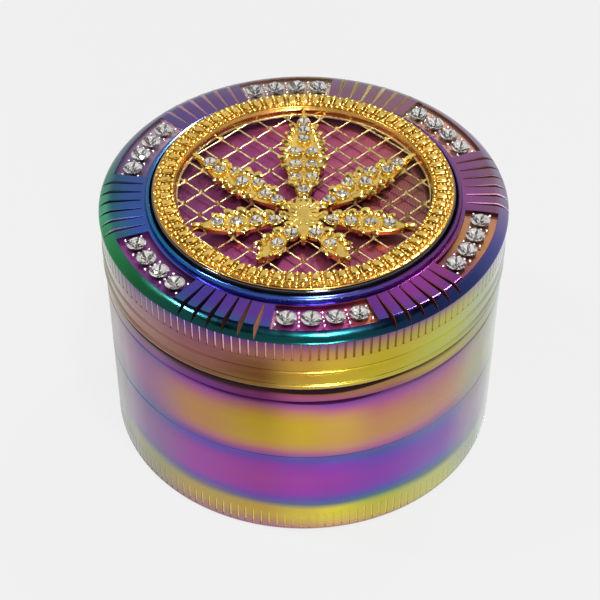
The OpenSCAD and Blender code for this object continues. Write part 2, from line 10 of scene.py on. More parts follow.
import bpy
import bmesh
import numpy as np
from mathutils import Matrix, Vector


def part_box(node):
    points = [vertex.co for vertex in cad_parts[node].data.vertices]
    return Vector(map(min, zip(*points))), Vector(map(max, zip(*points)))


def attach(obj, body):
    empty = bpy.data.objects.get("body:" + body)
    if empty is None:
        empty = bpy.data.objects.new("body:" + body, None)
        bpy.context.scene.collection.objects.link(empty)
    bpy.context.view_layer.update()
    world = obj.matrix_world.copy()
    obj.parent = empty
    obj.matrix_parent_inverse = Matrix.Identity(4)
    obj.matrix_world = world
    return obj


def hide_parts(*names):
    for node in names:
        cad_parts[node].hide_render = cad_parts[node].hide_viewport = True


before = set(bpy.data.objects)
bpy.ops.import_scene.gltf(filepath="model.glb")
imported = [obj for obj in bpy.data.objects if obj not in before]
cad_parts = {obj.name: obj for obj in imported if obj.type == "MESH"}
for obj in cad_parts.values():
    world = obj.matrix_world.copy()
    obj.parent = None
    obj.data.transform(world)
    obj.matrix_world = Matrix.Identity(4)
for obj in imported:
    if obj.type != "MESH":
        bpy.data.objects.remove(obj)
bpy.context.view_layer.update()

MM = 0.001
LIGHT = 0.86  # brightness of the pale surroundings


def node_box(name):
    """Lowest and highest corner of a CAD node, in mm."""
    lo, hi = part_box(name)
    return np.array(lo) / MM, np.array(hi) / MM


# ---- Sizes, from the CAD parts ----
LID_R = node_box("lid")[1][0]
BODY_R = node_box("base_cup")[1][0]
RING_R, _, RING_TOP = node_box("medallion_ring")[1]
LATTICE_LO, LATTICE_HI = node_box("medallion_lattice")
SEAT_LO, SEAT_HI = node_box("medallion_seat")
LEAF_TOP = node_box("leaf_emblem")[1][2]
TOP = LATTICE_HI[2] - 0.2
RECESS_Z = SEAT_LO[2]
FLANGE_Z = SEAT_HI[2]
POCKET_Z = TOP - 0.8
RING_IN = RING_R - 3.3
SEAT_IN = RING_IN + 0.6
LIP_W, LIP_FLATNESS = 2.0, 1.4
LIP_IN_R = LID_R - LIP_W
LIP_Z = TOP - 1.3
RIM_R = 24.4
BASE_KNURL = (0.6, 4.0)
LID_KNURL_H = 3.4

# ---- Stone pockets and slot groups round the lid, in degrees ----
GROUPS, PER_POCKET = 6, 4
POCKET_AZ = 6
GROUP_STEP = 360 / GROUPS
STONE_STEP = 7.36
SLOT_STEP = 4.411
SLOTS_FROM = 15.0  # a slot group's edge, from the middle between two groups
POCKET_R = 27.4


def stone_az(group, place):
    """Angle in radians of a place in a pocket, counted in stones from the pocket's middle."""
    return math.radians(POCKET_AZ + GROUP_STEP * group + place * STONE_STEP)


# ---- Mesh building ----
class Shape:
    """Points in mm and faces, gathered piece by piece into one mesh."""

    def __init__(self):
        self.points, self.faces, self.slots, self.count = [], [], [], 0

    def add(self, points, faces, slot=0):
        """Adds faces, with slot the place of their material in the list given to make."""
        self.points.append(np.asarray(points, float))
        self.faces += [[i + self.count for i in f] for f in faces]
        self.slots += [slot] * len(faces)
        self.count += len(points)

    def make(self, name, materials, body, nodes, crease):
        """Makes the object on its body, in place of the CAD nodes, sharp past the crease angle."""
        mesh = bpy.data.meshes.new(name)
        mesh.from_pydata((np.vstack(self.points) * MM).tolist(), [], self.faces)
        for material in materials:
            mesh.materials.append(material)
        mesh.polygons.foreach_set("material_index", self.slots)
        work = bmesh.new()
        work.from_mesh(mesh)
        bmesh.ops.recalc_face_normals(work, faces=work.faces)
        work.to_mesh(mesh)
        work.free()
        mesh.polygons.foreach_set("use_smooth", [True] * len(mesh.polygons))
        mesh.set_sharp_from_angle(angle=math.radians(crease))
        mesh.update()
        thing = bpy.data.objects.new(name, mesh)
        bpy.context.scene.collection.objects.link(thing)
        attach(thing, body)
        if nodes:
            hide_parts(*nodes)


def rotated(points, az, out=0.0, up=0.0):
    """Points given as (sideways, outwards, up), moved outwards and up, then turned to the angle az."""
    p = np.asarray(points, float)
    s, c = math.sin(az), math.cos(az)
    r = p[:, 1] + out
    return np.stack([p[:, 0] * c + r * s, p[:, 0] * s - r * c, p[:, 2] + up], -1)


def turned(points, angle, at=(0, 0, 0)):
    """Points turned about +Z, anticlockwise, then moved."""
    p = np.asarray(points, float)
    s, c = math.sin(angle), math.cos(angle)
    return np.stack([p[:, 0] * c - p[:, 1] * s, p[:, 0] * s + p[:, 1] * c, p[:, 2]], -1) + np.array(at)


def grid_faces(rows, columns, close_rows=False, close_columns=False):
    """The quads between rows of points, with the last row or column joined to the first where asked."""
    faces = []
    for i in range(rows if close_rows else rows - 1):
        for k in range(columns if close_columns else columns - 1):
            a, b = i * columns + k, i * columns + (k + 1) % columns
            c, d = (i + 1) % rows * columns + (k + 1) % columns, (i + 1) % rows * columns + k
            faces.append([a, b, c, d])
    return faces


def lathe(profile, steps=288):
    """A closed outline of (radius, height) turned round the axis."""
    p = np.array(profile, float)
    section = np.stack([0 * p[:, 0], p[:, 0], p[:, 1]], -1)
    points = [rotated(section, 2 * math.pi * i / steps) for i in range(steps)]
    return np.vstack(points), grid_faces(steps, len(p), True, True)


def rounded(corners, radius, steps=4):
    """An outline with each corner (x, y, share of radius) rounded."""
    out = []
    for i, (x, y, share) in enumerate(corners):
        a, b = Vector(corners[i - 1][:2]), Vector(corners[(i + 1) % len(corners)][:2])
        at = Vector((x, y))
        if not share:
            out.append((x, y))
            continue
        to_a, to_b = (a - at).normalized() * radius * share, (b - at).normalized() * radius * share
        for k in range(steps + 1):
            t = k / steps
            out.append(tuple(at + to_a * (1 - t) ** 2 + to_b * t**2))
    return out


def grain(length, width, height, sides=8, rings=6, point=0.75):
    """A rice-grain shape along +Y, rounded across and narrowed to both ends."""
    points = [(0, -length / 2, 0)]
    for i in range(1, rings):
        a = math.pi * i / rings
        size = math.sin(a) ** point
        for k in range(sides):
            b = 2 * math.pi * (k + 0.5) / sides
            across, up = width / 2 * size * math.cos(b), height / 2 * size * math.sin(b)
            points.append((across, -length / 2 * math.cos(a), up))
    points.append((0, length / 2, 0))
    faces = [[0, 1 + (k + 1) % sides, 1 + k] for k in range(sides)]
    for i in range(rings - 2):
        for k in range(sides):
            a, b = 1 + i * sides + k, 1 + i * sides + (k + 1) % sides
            faces.append([a, b, b + sides, a + sides])
    last, start = len(points) - 1, 1 + (rings - 2) * sides
    faces += [[last, start + k, start + (k + 1) % sides] for k in range(sides)]
    return np.array(points), faces


def bead(radius):
    """A ball, its poles up and down."""
    points, faces = grain(2 * radius, 2 * radius, 2 * radius, 10, 7, 1)
    return points[:, [0, 2, 1]], faces


def block(width_in, width_out, y0, y1, z0, z1, bevel):
    """A wedge-shaped block with its top edges bevelled."""
    levels = [(z0, 0), (z1 - bevel, 0), (z1 - 0.3 * bevel, 0.3 * bevel), (z1, bevel)]
    points = []
    for z, inset in levels:
        a, b = width_in / 2 - inset, width_out / 2 - inset
        points += [(-a, y0 + inset, z), (a, y0 + inset, z), (b, y1 - inset, z), (-b, y1 - inset, z)]
    faces = grid_faces(len(levels), 4, False, True)
    return points, faces + [[3, 2, 1, 0], [len(points) - 4 + k for k in range(4)]]


def peaked(peak, outline, shrink, foot):
    """A low peak over an outline, with sides down to the same outline, shrunk, at the height foot."""
    n = len(outline)
    points = [peak] + outline + [(shrink * x, shrink * y, foot) for x, y, _ in outline]
    faces = [[0, 1 + k, 1 + (k + 1) % n] for k in range(n)]
    faces += [[1 + k, 1 + n + k, 1 + n + (k + 1) % n, 1 + (k + 1) % n] for k in range(n)]
    return np.array(points), faces + [list(range(2 * n, n, -1))]


def rod(a, b, radius, sides=8):
    """A round rod between two points."""
    a, b = Vector(a), Vector(b)
    along = (b - a).normalized()
    side = along.cross(Vector((0, 0, 1))).normalized()
    other = side.cross(along)
    points = []
    for end in (a, b):
        for k in range(sides):
            t = 2 * math.pi * k / sides
            points.append(tuple(end + radius * (side * math.cos(t) + other * math.sin(t))))
    faces = grid_faces(2, sides, False, True)
    return points, faces + [list(range(sides)), list(range(2 * sides - 1, sides - 1, -1))]


# ---- Shader building ----
def linear(colour, light=1.0):
    """A colour as seen, 0 to 255, as the linear colour that gives it under that much light."""
    def one(v):
        v = v / 255
        return min(1.0, (v / 12.92 if v < 0.04045 else ((v + 0.055) / 1.055) ** 2.4) / light)
    return tuple(one(v) for v in colour) + (1.0,)


class Graph:
    """A material's node tree, built call by call."""

    def __init__(self, name, **settings):
        self.material = bpy.data.materials.new(name)
        self.material.use_nodes = True
        self.tree = self.material.node_tree
        self.tree.nodes.clear()
        out = self.tree.nodes.new("ShaderNodeOutputMaterial")
        self.shader = self.tree.nodes.new("ShaderNodeBsdfPrincipled")
        self.tree.links.new(self.shader.outputs[0], out.inputs[0])
        for key, value in settings.items():
            self.shader.inputs[key.replace("_", " ").title().replace("Ior", "IOR")].default_value = value
        coordinates = self.tree.nodes.new("ShaderNodeTexCoord")
        scaled = self.tree.nodes.new("ShaderNodeVectorMath")
        scaled.operation = "SCALE"
        scaled.inputs[3].default_value = 1 / MM
        self.tree.links.new(coordinates.outputs["Object"], scaled.inputs[0])
        self.place = scaled.outputs[0]
        split = self.tree.nodes.new("ShaderNodeSeparateXYZ")
        self.tree.links.new(self.place, split.inputs[0])
        self.x, self.y, self.z = split.outputs

    def put(self, socket, value):
        """Links a socket's value, or sets a number or colour; None leaves it as it is."""
        if isinstance(value, bpy.types.NodeSocket):
            self.tree.links.new(value, socket)
        elif value is not None:
            socket.default_value = value

    def math(self, operation, a, b=None, c=None, clamp=False):
        node = self.tree.nodes.new("ShaderNodeMath")
        node.operation, node.use_clamp = operation, clamp
        for socket, value in zip(node.inputs, (a, b, c)):
            self.put(socket, value)
        return node.outputs[0]

    def normal_z(self):
        """The upward part of the surface's own direction."""
        node = self.tree.nodes.new("ShaderNodeNewGeometry")
        split = self.tree.nodes.new("ShaderNodeSeparateXYZ")
        self.tree.links.new(node.outputs["True Normal"], split.inputs[0])
        return split.outputs[2]

    def radius(self):
        return self.math("SQRT", self.math("ADD", self.math("MULTIPLY", self.x, self.x),
                                           self.math("MULTIPLY", self.y, self.y)))

    def azimuth(self):
        """Degrees from the front, -180 to 180."""
        return self.math("DEGREES", self.math("ARCTAN2", self.x, self.math("MULTIPLY", self.y, -1.0)))

    def step(self, value, lo, hi):
        """0 below lo and 1 above hi, smooth between."""
        node = self.tree.nodes.new("ShaderNodeMapRange")
        node.interpolation_type = "SMOOTHSTEP"
        for socket, v in zip(node.inputs, (value, lo, hi, 0.0, 1.0)):
            self.put(socket, v)
        return node.outputs[0]

    def between(self, value, lo, hi, soft):
        """1 from lo to hi and 0 outside, with soft ends."""
        past_lo = self.step(value, lo - soft, lo + soft)
        return self.math("SUBTRACT", past_lo, self.step(value, hi - soft, hi + soft))

    def both(self, *shares):
        """The product of shares from 0 to 1."""
        product = shares[0]
        for share in shares[1:]:
            product = self.math("MULTIPLY", product, share)
        return product

    def ramp(self, value, stops):
        """A colour by value, from (value, colour) stops."""
        lo, hi = stops[0][0], stops[-1][0]
        share = self.tree.nodes.new("ShaderNodeMapRange")
        for socket, v in zip(share.inputs, (value, lo, hi, 0.0, 1.0)):
            self.put(socket, v)
        node = self.tree.nodes.new("ShaderNodeValToRGB")
        elements = node.color_ramp.elements
        while len(elements) < len(stops):
            elements.new(0.5)
        for element, (at, _) in zip(elements, stops):
            element.position = (at - lo) / (hi - lo)
        for element, (_, colour) in zip(elements, stops):
            element.color = linear(colour, LIGHT)
        self.tree.links.new(share.outputs[0], node.inputs[0])
        return node.outputs[0]

    def mix(self, share, a, b):
        """Colour a where the share is 0 and b where it is 1."""
        node = self.tree.nodes.new("ShaderNodeMix")
        node.data_type = "RGBA"
        for socket, value in zip((node.inputs[0], node.inputs[6], node.inputs[7]), (share, a, b)):
            self.put(socket, value)
        return node.outputs[2]

    def noise(self, scale, detail=2.0, stretch=(1, 1, 1)):
        """Noise by place, with about scale features a millimetre."""
        stretched = self.tree.nodes.new("ShaderNodeVectorMath")
        stretched.operation = "MULTIPLY"
        self.put(stretched.inputs[0], self.place)
        stretched.inputs[1].default_value = stretch
        node = self.tree.nodes.new("ShaderNodeTexNoise")
        self.tree.links.new(stretched.outputs[0], node.inputs["Vector"])
        node.inputs["Scale"].default_value = scale
        node.inputs["Detail"].default_value = detail
        return node.outputs[0]

    def noise_of(self, value, scale, detail=3.0):
        """Noise along one value only, such as turning marks by height or radius."""
        node = self.tree.nodes.new("ShaderNodeTexNoise")
        node.noise_dimensions = "1D"
        self.tree.links.new(value, node.inputs["W"])
        node.inputs["Scale"].default_value = scale
        node.inputs["Detail"].default_value = detail
        return node.outputs[0]

    def span(self, value, lo, hi):
        """Turns a value of 0.3 to 0.7 into one from lo to hi."""
        node = self.tree.nodes.new("ShaderNodeMapRange")
        for socket, v in zip(node.inputs, (value, 0.3, 0.7, lo, hi)):
            self.put(socket, v)
        return node.outputs[0]

    def two_tone(self, pattern, a, b):
        """Sets a base colour that varies with a pattern between two colours, given as they look."""
        self.set("Base Color", self.mix(self.span(pattern, 0.0, 1.0), linear(a), linear(b)))

    def bump(self, height, strength, distance):
        """Bump of a height in mm."""
        node = self.tree.nodes.new("ShaderNodeBump")
        node.inputs["Strength"].default_value = strength
        node.inputs["Distance"].default_value = distance * MM
        self.put(node.inputs["Height"], height)
        if self.shader.inputs["Normal"].links:
            self.put(node.inputs["Normal"], self.shader.inputs["Normal"].links[0].from_socket)
        self.put(self.shader.inputs["Normal"], node.outputs[0])

    def set(self, name, value):
        self.put(self.shader.inputs[name], value)


# ---- Plating colours ----
GOLD, MAGENTA, BLUE = (196, 164, 50), (150, 68, 150), (90, 84, 160)
INSIDE = [(-180, GOLD), (-120, MAGENTA), (-60, BLUE), (0, GOLD), (60, MAGENTA), (120, BLUE), (180, GOLD)]


def columns_all_round(front):
    """Wall columns from (az, stops) for the front half, with the front's bands again round the back.

    The walls are pale only near 75 degrees either side, where the front view meets them edge on: a painted
    reflection of the pale surroundings.
    """
    by_az = dict(front)
    back = [(-180, by_az[0]), (-150, by_az[22]), (-125, by_az[-30]), (-96, by_az[22]), (-83, by_az[-72])]
    ahead = [(84, by_az[76]), (97, by_az[22]), (125, by_az[-30]), (150, by_az[22]), (180, by_az[0])]
    return back + sorted(front) + ahead


# Wall colours by angle and height. The pale columns at -72, 60 and 76 degrees are a painted reflection of the
# pale surroundings, and the columns at 8 and 10 degrees are a little lighter, a painted highlight streak.
SKIRT = columns_all_round([
    (-72, [(32, (155, 146, 123)), (38, (153, 153, 143)), (41.6, (132, 146, 132))]),
    (-50, [(32, (130, 96, 87)), (34.5, (143, 104, 94)), (38, (136, 103, 110)), (40.6, (117, 97, 118)),
        (41.6, (78, 70, 122))]),
    (-30, [(32, (120, 84, 62)), (35, (130, 84, 72)), (38.5, (130, 76, 88)), (40.6, (98, 64, 104)),
        (41.6, (70, 50, 120))]),
    (-12, [(32, (128, 100, 48)), (34.2, (104, 64, 30)), (37, (114, 74, 44)), (39, (140, 92, 78)),
        (40.6, (116, 74, 100)), (41.6, (84, 56, 130))]),
    (0, [(32, (184, 156, 70)), (34.5, (176, 140, 50)), (37.5, (180, 138, 60)), (39.6, (166, 108, 92)),
        (40.8, (126, 80, 118)), (41.6, (90, 60, 130))]),
    (8, [(32, (190, 168, 74)), (34.5, (186, 160, 44)), (37.5, (196, 164, 54)), (39.6, (178, 134, 88)),
        (40.8, (140, 94, 124)), (41.6, (96, 70, 134))]),
    (22, [(32, (176, 162, 66)), (34.5, (176, 158, 34)), (38, (178, 158, 46)), (39.8, (164, 132, 80)),
        (40.9, (144, 104, 116)), (41.6, (96, 80, 130))]),
    (42, [(32, (168, 168, 90)), (36, (172, 178, 78)), (39.6, (172, 164, 80)), (40.9, (150, 130, 116)),
        (41.6, (100, 90, 140))]),
    (60, [(32, (157, 164, 133)), (39, (158, 166, 136)), (41, (151, 146, 149)), (41.6, (109, 100, 136))]),
    (76, [(32, (184, 190, 180)), (38, (188, 190, 198)), (41.6, (186, 180, 206))]),
])
BAND = columns_all_round([
    (-72, [(29.3, (146, 134, 130)), (32.1, (151, 141, 121))]),
    (-50, [(29.3, (113, 84, 127)), (30.6, (125, 85, 120)), (32.1, (104, 73, 84))]),
    (-30, [(29.3, (104, 46, 120)), (30.8, (104, 52, 112)), (32.1, (70, 30, 50))]),
    (-12, [(29.3, (94, 38, 90)), (30.8, (102, 42, 84)), (32.1, (60, 26, 30))]),
    (0, [(29.3, (136, 62, 136)), (30.6, (160, 84, 120)), (31.4, (140, 78, 70)), (32.1, (84, 44, 24))]),
    (22, [(29.3, (120, 72, 112)), (30.6, (158, 104, 80)), (32.1, (150, 116, 60))]),
    (42, [(29.3, (164, 132, 104)), (30.8, (170, 156, 74)), (32.1, (136, 126, 56))]),
    (60, [(29.3, (155, 153, 120)), (32.1, (157, 160, 129))]),
    (76, [(29.3, (178, 188, 182)), (32.1, (176, 184, 178))]),
])
SIEVE = columns_all_round([
    (-72, [(17.2, (150, 150, 150)), (23, (158, 152, 152)), (29.5, (150, 137, 132))]),
    (-50, [(17.2, (94, 99, 137)), (18.4, (106, 97, 136)), (19.6, (129, 91, 136)), (23, (141, 96, 130)),
        (27, (130, 90, 132)), (28.6, (111, 87, 130)), (29.5, (96, 78, 125))]),
    (-30, [(17.2, (92, 74, 144)), (18.2, (133, 80, 132)), (19.2, (160, 104, 122)), (20.6, (168, 122, 84)),
        (24.5, (170, 125, 74)), (26.2, (168, 114, 94)), (27.6, (154, 92, 118)), (28.6, (138, 76, 132)),
        (29.5, (110, 52, 128))]),
    (-12, [(17.2, (112, 74, 140)), (18.2, (156, 89, 121)), (19.2, (174, 124, 84)), (20.6, (174, 142, 52)),
        (24.5, (166, 141, 37)), (26.2, (162, 124, 46)), (27.5, (150, 100, 72)), (28.6, (130, 74, 98)),
        (29.5, (90, 36, 86))]),
    (0, [(17.2, (132, 82, 146)), (18.2, (172, 106, 131)), (19.2, (188, 140, 94)), (20.6, (192, 160, 56)),
        (24.5, (194, 163, 48)), (26.2, (194, 148, 72)), (27.5, (186, 126, 104)), (28.6, (166, 88, 138)),
        (29.5, (140, 78, 148))]),
    (10, [(17.2, (138, 88, 146)), (18.2, (176, 112, 132)), (19.2, (190, 142, 104)), (20.8, (195, 153, 78)),
        (24.5, (198, 158, 74)), (26.2, (196, 146, 92)), (27.5, (184, 112, 126)), (28.6, (148, 80, 154)),
        (29.5, (124, 66, 150))]),
    (22, [(17.2, (134, 80, 143)), (18.2, (165, 101, 134)), (19.4, (179, 124, 118)), (21, (182, 134, 88)),
        (24, (181, 128, 94)), (26, (174, 110, 110)), (27.5, (162, 88, 136)), (28.6, (136, 76, 144)),
        (29.5, (100, 60, 112))]),
    (42, [(17.2, (126, 104, 148)), (18.2, (150, 109, 138)), (19.4, (174, 126, 124)),
        (21.5, (177, 135, 107)), (24.5, (172, 124, 108)), (27, (163, 108, 132)), (28.6, (138, 94, 142)),
        (29.5, (90, 60, 84))]),
    (60, [(17.2, (151, 147, 141)), (22, (158, 161, 130)), (27, (158, 152, 136)), (28.6, (151, 144, 129)),
        (29.5, (115, 111, 89))]),
    (76, [(17.2, (194, 202, 192)), (22, (198, 204, 194)), (29.5, (182, 192, 184))]),
])
BASE = columns_all_round([
    (-72, [(0, (167, 169, 164)), (3, (151, 157, 151)), (8, (155, 154, 153)), (17.2, (151, 151, 150))]),
    (-50, [(0, (139, 127, 125)), (1.6, (142, 134, 117)), (5.4, (144, 144, 108)), (6.4, (130, 132, 124)),
        (7.5, (108, 101, 130)), (9, (123, 93, 143)), (13, (130, 94, 135)), (15.2, (120, 90, 137)),
        (17.2, (97, 99, 137))]),
    (-30, [(0, (160, 116, 140)), (1.6, (158, 124, 114)), (3, (174, 146, 86)), (5.2, (168, 148, 84)),
        (6.4, (116, 106, 126)), (7.6, (108, 82, 156)), (9, (146, 71, 151)), (14, (146, 74, 146)),
        (15.4, (134, 70, 149)), (16.4, (104, 76, 155)), (17.2, (92, 80, 157))]),
    (-12, [(0, (160, 110, 150)), (1.4, (166, 124, 106)), (3, (181, 148, 66)), (5.1, (174, 144, 70)),
        (6.3, (92, 92, 134)), (7.5, (112, 68, 158)), (9, (141, 63, 143)), (12, (147, 65, 138)),
        (15, (138, 60, 146)), (16.3, (103, 68, 150)), (17.2, (90, 74, 150))]),
    (0, [(0, (166, 116, 150)), (1.4, (186, 152, 98)), (3, (204, 181, 72)), (5.1, (196, 176, 72)),
        (6.3, (92, 106, 138)), (7.5, (108, 79, 164)), (9, (145, 63, 162)), (12, (154, 66, 155)),
        (15, (132, 66, 160)), (16.3, (100, 76, 164)), (17.2, (88, 90, 154))]),
    (8, [(0, (176, 128, 140)), (1.4, (206, 172, 108)), (3, (213, 195, 64)), (5.1, (214, 198, 66)),
        (6.3, (88, 108, 130)), (7.5, (93, 84, 166)), (9, (137, 65, 160)), (12, (148, 64, 158)),
        (15, (134, 65, 171)), (16.3, (98, 84, 172)), (17.2, (88, 90, 154))]),
    (22, [(0, (172, 138, 130)), (1.4, (187, 172, 80)), (4.8, (180, 175, 68)), (5.5, (148, 166, 100)),
        (6.4, (84, 115, 124)), (7.5, (87, 88, 164)), (9, (124, 69, 164)), (12, (131, 65, 162)),
        (15, (107, 71, 167)), (16.2, (80, 86, 155)), (17.2, (92, 90, 146))]),
    (42, [(0, (168, 160, 130)), (1.6, (184, 184, 118)), (4.8, (178, 183, 117)), (6.3, (103, 122, 128)),
        (7.5, (101, 107, 166)), (9.4, (126, 92, 167)), (12.5, (129, 86, 164)), (15, (116, 94, 165)),
        (16.2, (101, 108, 163)), (17.2, (116, 110, 148))]),
    (60, [(0, (169, 175, 160)), (4.8, (161, 168, 157)), (6.3, (135, 142, 147)), (8, (146, 138, 153)),
        (11, (149, 134, 156)), (17.2, (146, 138, 142))]),
    (76, [(0, (206, 212, 206)), (5, (194, 198, 196)), (17.2, (192, 198, 190))]),
])


def with_seam(columns, top, shadow):
    """Wall columns with a thin dark line at the top, the shade under the next section, darkest in front."""
    out = []
    for az, stops in columns:
        line = shadow if -56 < az < 30 else tuple((a + 2 * b) / 3 for a, b in zip(shadow, stops[-1][1]))
        out.append((az, stops[:-1] + [(top - 0.2, stops[-1][1]), (top, line)]))
    return out


BAND = with_seam(BAND, 31.6, (40, 22, 26))
SIEVE = with_seam(SIEVE, 29.38, (60, 18, 60))

FACE_IN = [
    (-180, (118, 88, 118)), (-140, (92, 74, 124)), (-112, (84, 84, 130)), (-92, (54, 80, 140)),
    (-68, (52, 82, 150)), (-50, (60, 76, 148)), (-34, (72, 54, 138)), (-20, (90, 54, 136)),
    (0, (84, 58, 148)), (20, (98, 50, 128)), (38, (134, 54, 138)), (52, (132, 60, 116)),
    (72, (108, 64, 108)), (95, (122, 74, 120)), (120, (130, 84, 118)), (150, (136, 96, 108)),
    (180, (118, 88, 118))
]
FACE_OUT = [
    (-180, (128, 108, 130)), (-140, (100, 90, 128)), (-112, (62, 84, 116)), (-92, (40, 84, 98)),
    (-72, (46, 98, 108)), (-54, (48, 82, 106)), (-34, (50, 84, 130)), (-18, (46, 84, 136)),
    (0, (54, 72, 144)), (22, (72, 64, 138)), (38, (92, 60, 124)), (52, (98, 56, 114)), (74, (108, 78, 102)),
    (95, (118, 84, 108)), (120, (124, 96, 116)), (150, (132, 104, 116)), (180, (128, 108, 130))
]
LIP = [
    (-180, (120, 110, 130)), (-120, (90, 100, 120)), (-98, (60, 110, 100)), (-80, (72, 148, 112)),
    (-62, (40, 116, 66)), (-48, (26, 84, 50)), (-34, (22, 62, 60)), (-20, (18, 56, 56)), (-6, (16, 66, 66)),
    (10, (14, 60, 64)), (24, (20, 42, 66)), (38, (28, 36, 74)), (52, (46, 56, 102)), (70, (86, 84, 142)),
    (92, (136, 124, 150)), (130, (120, 110, 130)), (180, (120, 110, 130))
]
RIM = [
    (-180, (104, 84, 128)), (-110, (44, 84, 126)), (-60, (26, 98, 144)), (-36, (44, 72, 138)),
    (0, (56, 76, 142)), (24, (76, 64, 134)), (40, (98, 50, 116)), (80, (98, 58, 112)),
    (130, (108, 74, 130)), (180, (104, 84, 128))
]
# Cut colours where lit, for pocket floors and the lit side of the slots.
CUT_LIT = [
    (-180, (170, 150, 120)), (-144, (214, 194, 202)), (-112, (120, 100, 130)), (-84, (34, 38, 58)),
    (-60, (118, 62, 116)), (-44, (90, 52, 100)), (-34, (64, 42, 66)), (-22, (110, 74, 68)),
    (-15, (208, 182, 160)), (-11, (120, 60, 110)), (0, (150, 66, 130)), (12, (150, 70, 110)),
    (19, (176, 110, 80)), (26, (120, 76, 72)), (52, (104, 62, 66)), (62, (132, 92, 60)),
    (74, (132, 92, 60)), (96, (130, 90, 92)), (130, (164, 128, 110)), (156, (226, 221, 194)),
    (180, (170, 150, 120))
]
# Painted shade for the shaded side of each slot.
CUT_PAINTED_SHADE = [
    (-180, (140, 124, 104)), (-144, (176, 154, 164)), (-112, (50, 46, 74)), (-84, (8, 12, 26)),
    (-60, (20, 14, 36)), (-40, (24, 14, 28)), (-22, (56, 34, 42)), (-15, (134, 106, 96)),
    (24, (66, 32, 40)), (40, (50, 22, 34)), (70, (56, 30, 38)), (96, (64, 42, 50)), (130, (110, 86, 84)),
    (156, (204, 198, 168)), (180, (140, 124, 104))
]
# Painted highlight along the edges of the cuts.
CUT_EDGE_PAINTED_HIGHLIGHT = [
    (-180, (200, 190, 150)), (-144, (196, 150, 156)), (-112, (90, 80, 110)), (-84, (22, 28, 46)),
    (-48, (50, 36, 56)), (-24, (104, 70, 66)), (-14, (206, 164, 116)), (26, (196, 156, 116)),
    (48, (150, 104, 96)), (84, (112, 78, 86)), (112, (140, 104, 100)), (150, (208, 200, 160)),
    (180, (200, 190, 150))
]
NOTCH = [
    (-180, (220, 210, 170)), (-90, (150, 140, 150)), (-72, (150, 130, 146)), (-54, (190, 160, 176)),
    (-46, (230, 204, 216)), (-20, (226, 200, 204)), (0, (196, 164, 150)), (12, (164, 138, 96)),
    (30, (150, 140, 76)), (50, (176, 176, 120)), (90, (206, 210, 200)), (180, (220, 210, 170))
]
FLOOR = [
    (-20, (104, 52, 88)), (-8, (132, 60, 108)), (4, (134, 66, 92)), (12, (128, 66, 78)), (20, (92, 58, 52))
]


def wall_colour(graph, az, z, columns):
    """A colour by angle and height, from columns of (az, [(height, colour), ...])."""
    colour = graph.ramp(z, columns[0][1])
    for (before, _), (after, stops) in zip(columns, columns[1:]):
        if before != after:
            colour = graph.mix(graph.step(az, before, after), colour, graph.ramp(z, stops))
    return colour


def plating(name, columns):
    """Iridescent plating on turned metal: its colour runs in bands that wander a little round the wall."""
    graph = Graph(name, metallic=1.0, anisotropic=0.75)
    az, r = graph.azimuth(), graph.radius()
    wander = graph.span(graph.noise(0.05, 1.0), -0.35, 0.35)
    z = graph.math("ADD", graph.z, wander)
    wall = wall_colour(graph, az, z, columns)
    inside = graph.ramp(graph.math("ADD", az, graph.math("MULTIPLY", wander, 60.0)), INSIDE)
    share = graph.step(r, BODY_R - 1.2, BODY_R - 0.9)
    colour = graph.mix(share, inside, wall)
    in_knurl = graph.between(graph.z, *BASE_KNURL, 0.02)
    notch = graph.both(graph.step(r, BODY_R - 0.11, BODY_R - 0.15), share, in_knurl)
    graph.set("Base Color", graph.mix(notch, colour, linear((224, 216, 160), LIGHT)))
    finish_turned(graph, graph.z, 0.24)
    return graph.material


def finish_turned(graph, along, gloss, extra=None):
    """Fine turning marks along one direction, and a gloss that varies a little, with extra roughness."""
    tangent = graph.tree.nodes.new("ShaderNodeTangent")
    tangent.direction_type, tangent.axis = "RADIAL", "Z"
    graph.put(graph.shader.inputs["Tangent"], tangent.outputs[0])
    smear = graph.noise(0.22, 3.0, (1, 1, 0.4))
    rough = graph.span(smear, gloss - 0.05, gloss + 0.07)
    graph.set("Roughness", rough if extra is None else graph.math("ADD", extra, rough))
    graph.bump(graph.noise_of(along, 14.0, 3.0), 0.25, 0.004)
    graph.bump(graph.noise(3.0, 4.0), 0.12, 0.004)


def below_face(graph, r):
    """How far a point of the lid is below the uncut face and lip at its radius, in mm."""
    t = graph.math("DIVIDE", graph.math("SUBTRACT", r, LIP_IN_R), LIP_W, clamp=True)
    arch = graph.math("SUBTRACT", 1.0, graph.math("POWER", t, 2 / LIP_FLATNESS), clamp=True)
    arch = graph.math("POWER", arch, LIP_FLATNESS / 2)
    surface = graph.math("MULTIPLY_ADD", arch, TOP - LIP_Z, LIP_Z)
    return graph.math("SUBTRACT", surface, graph.z)


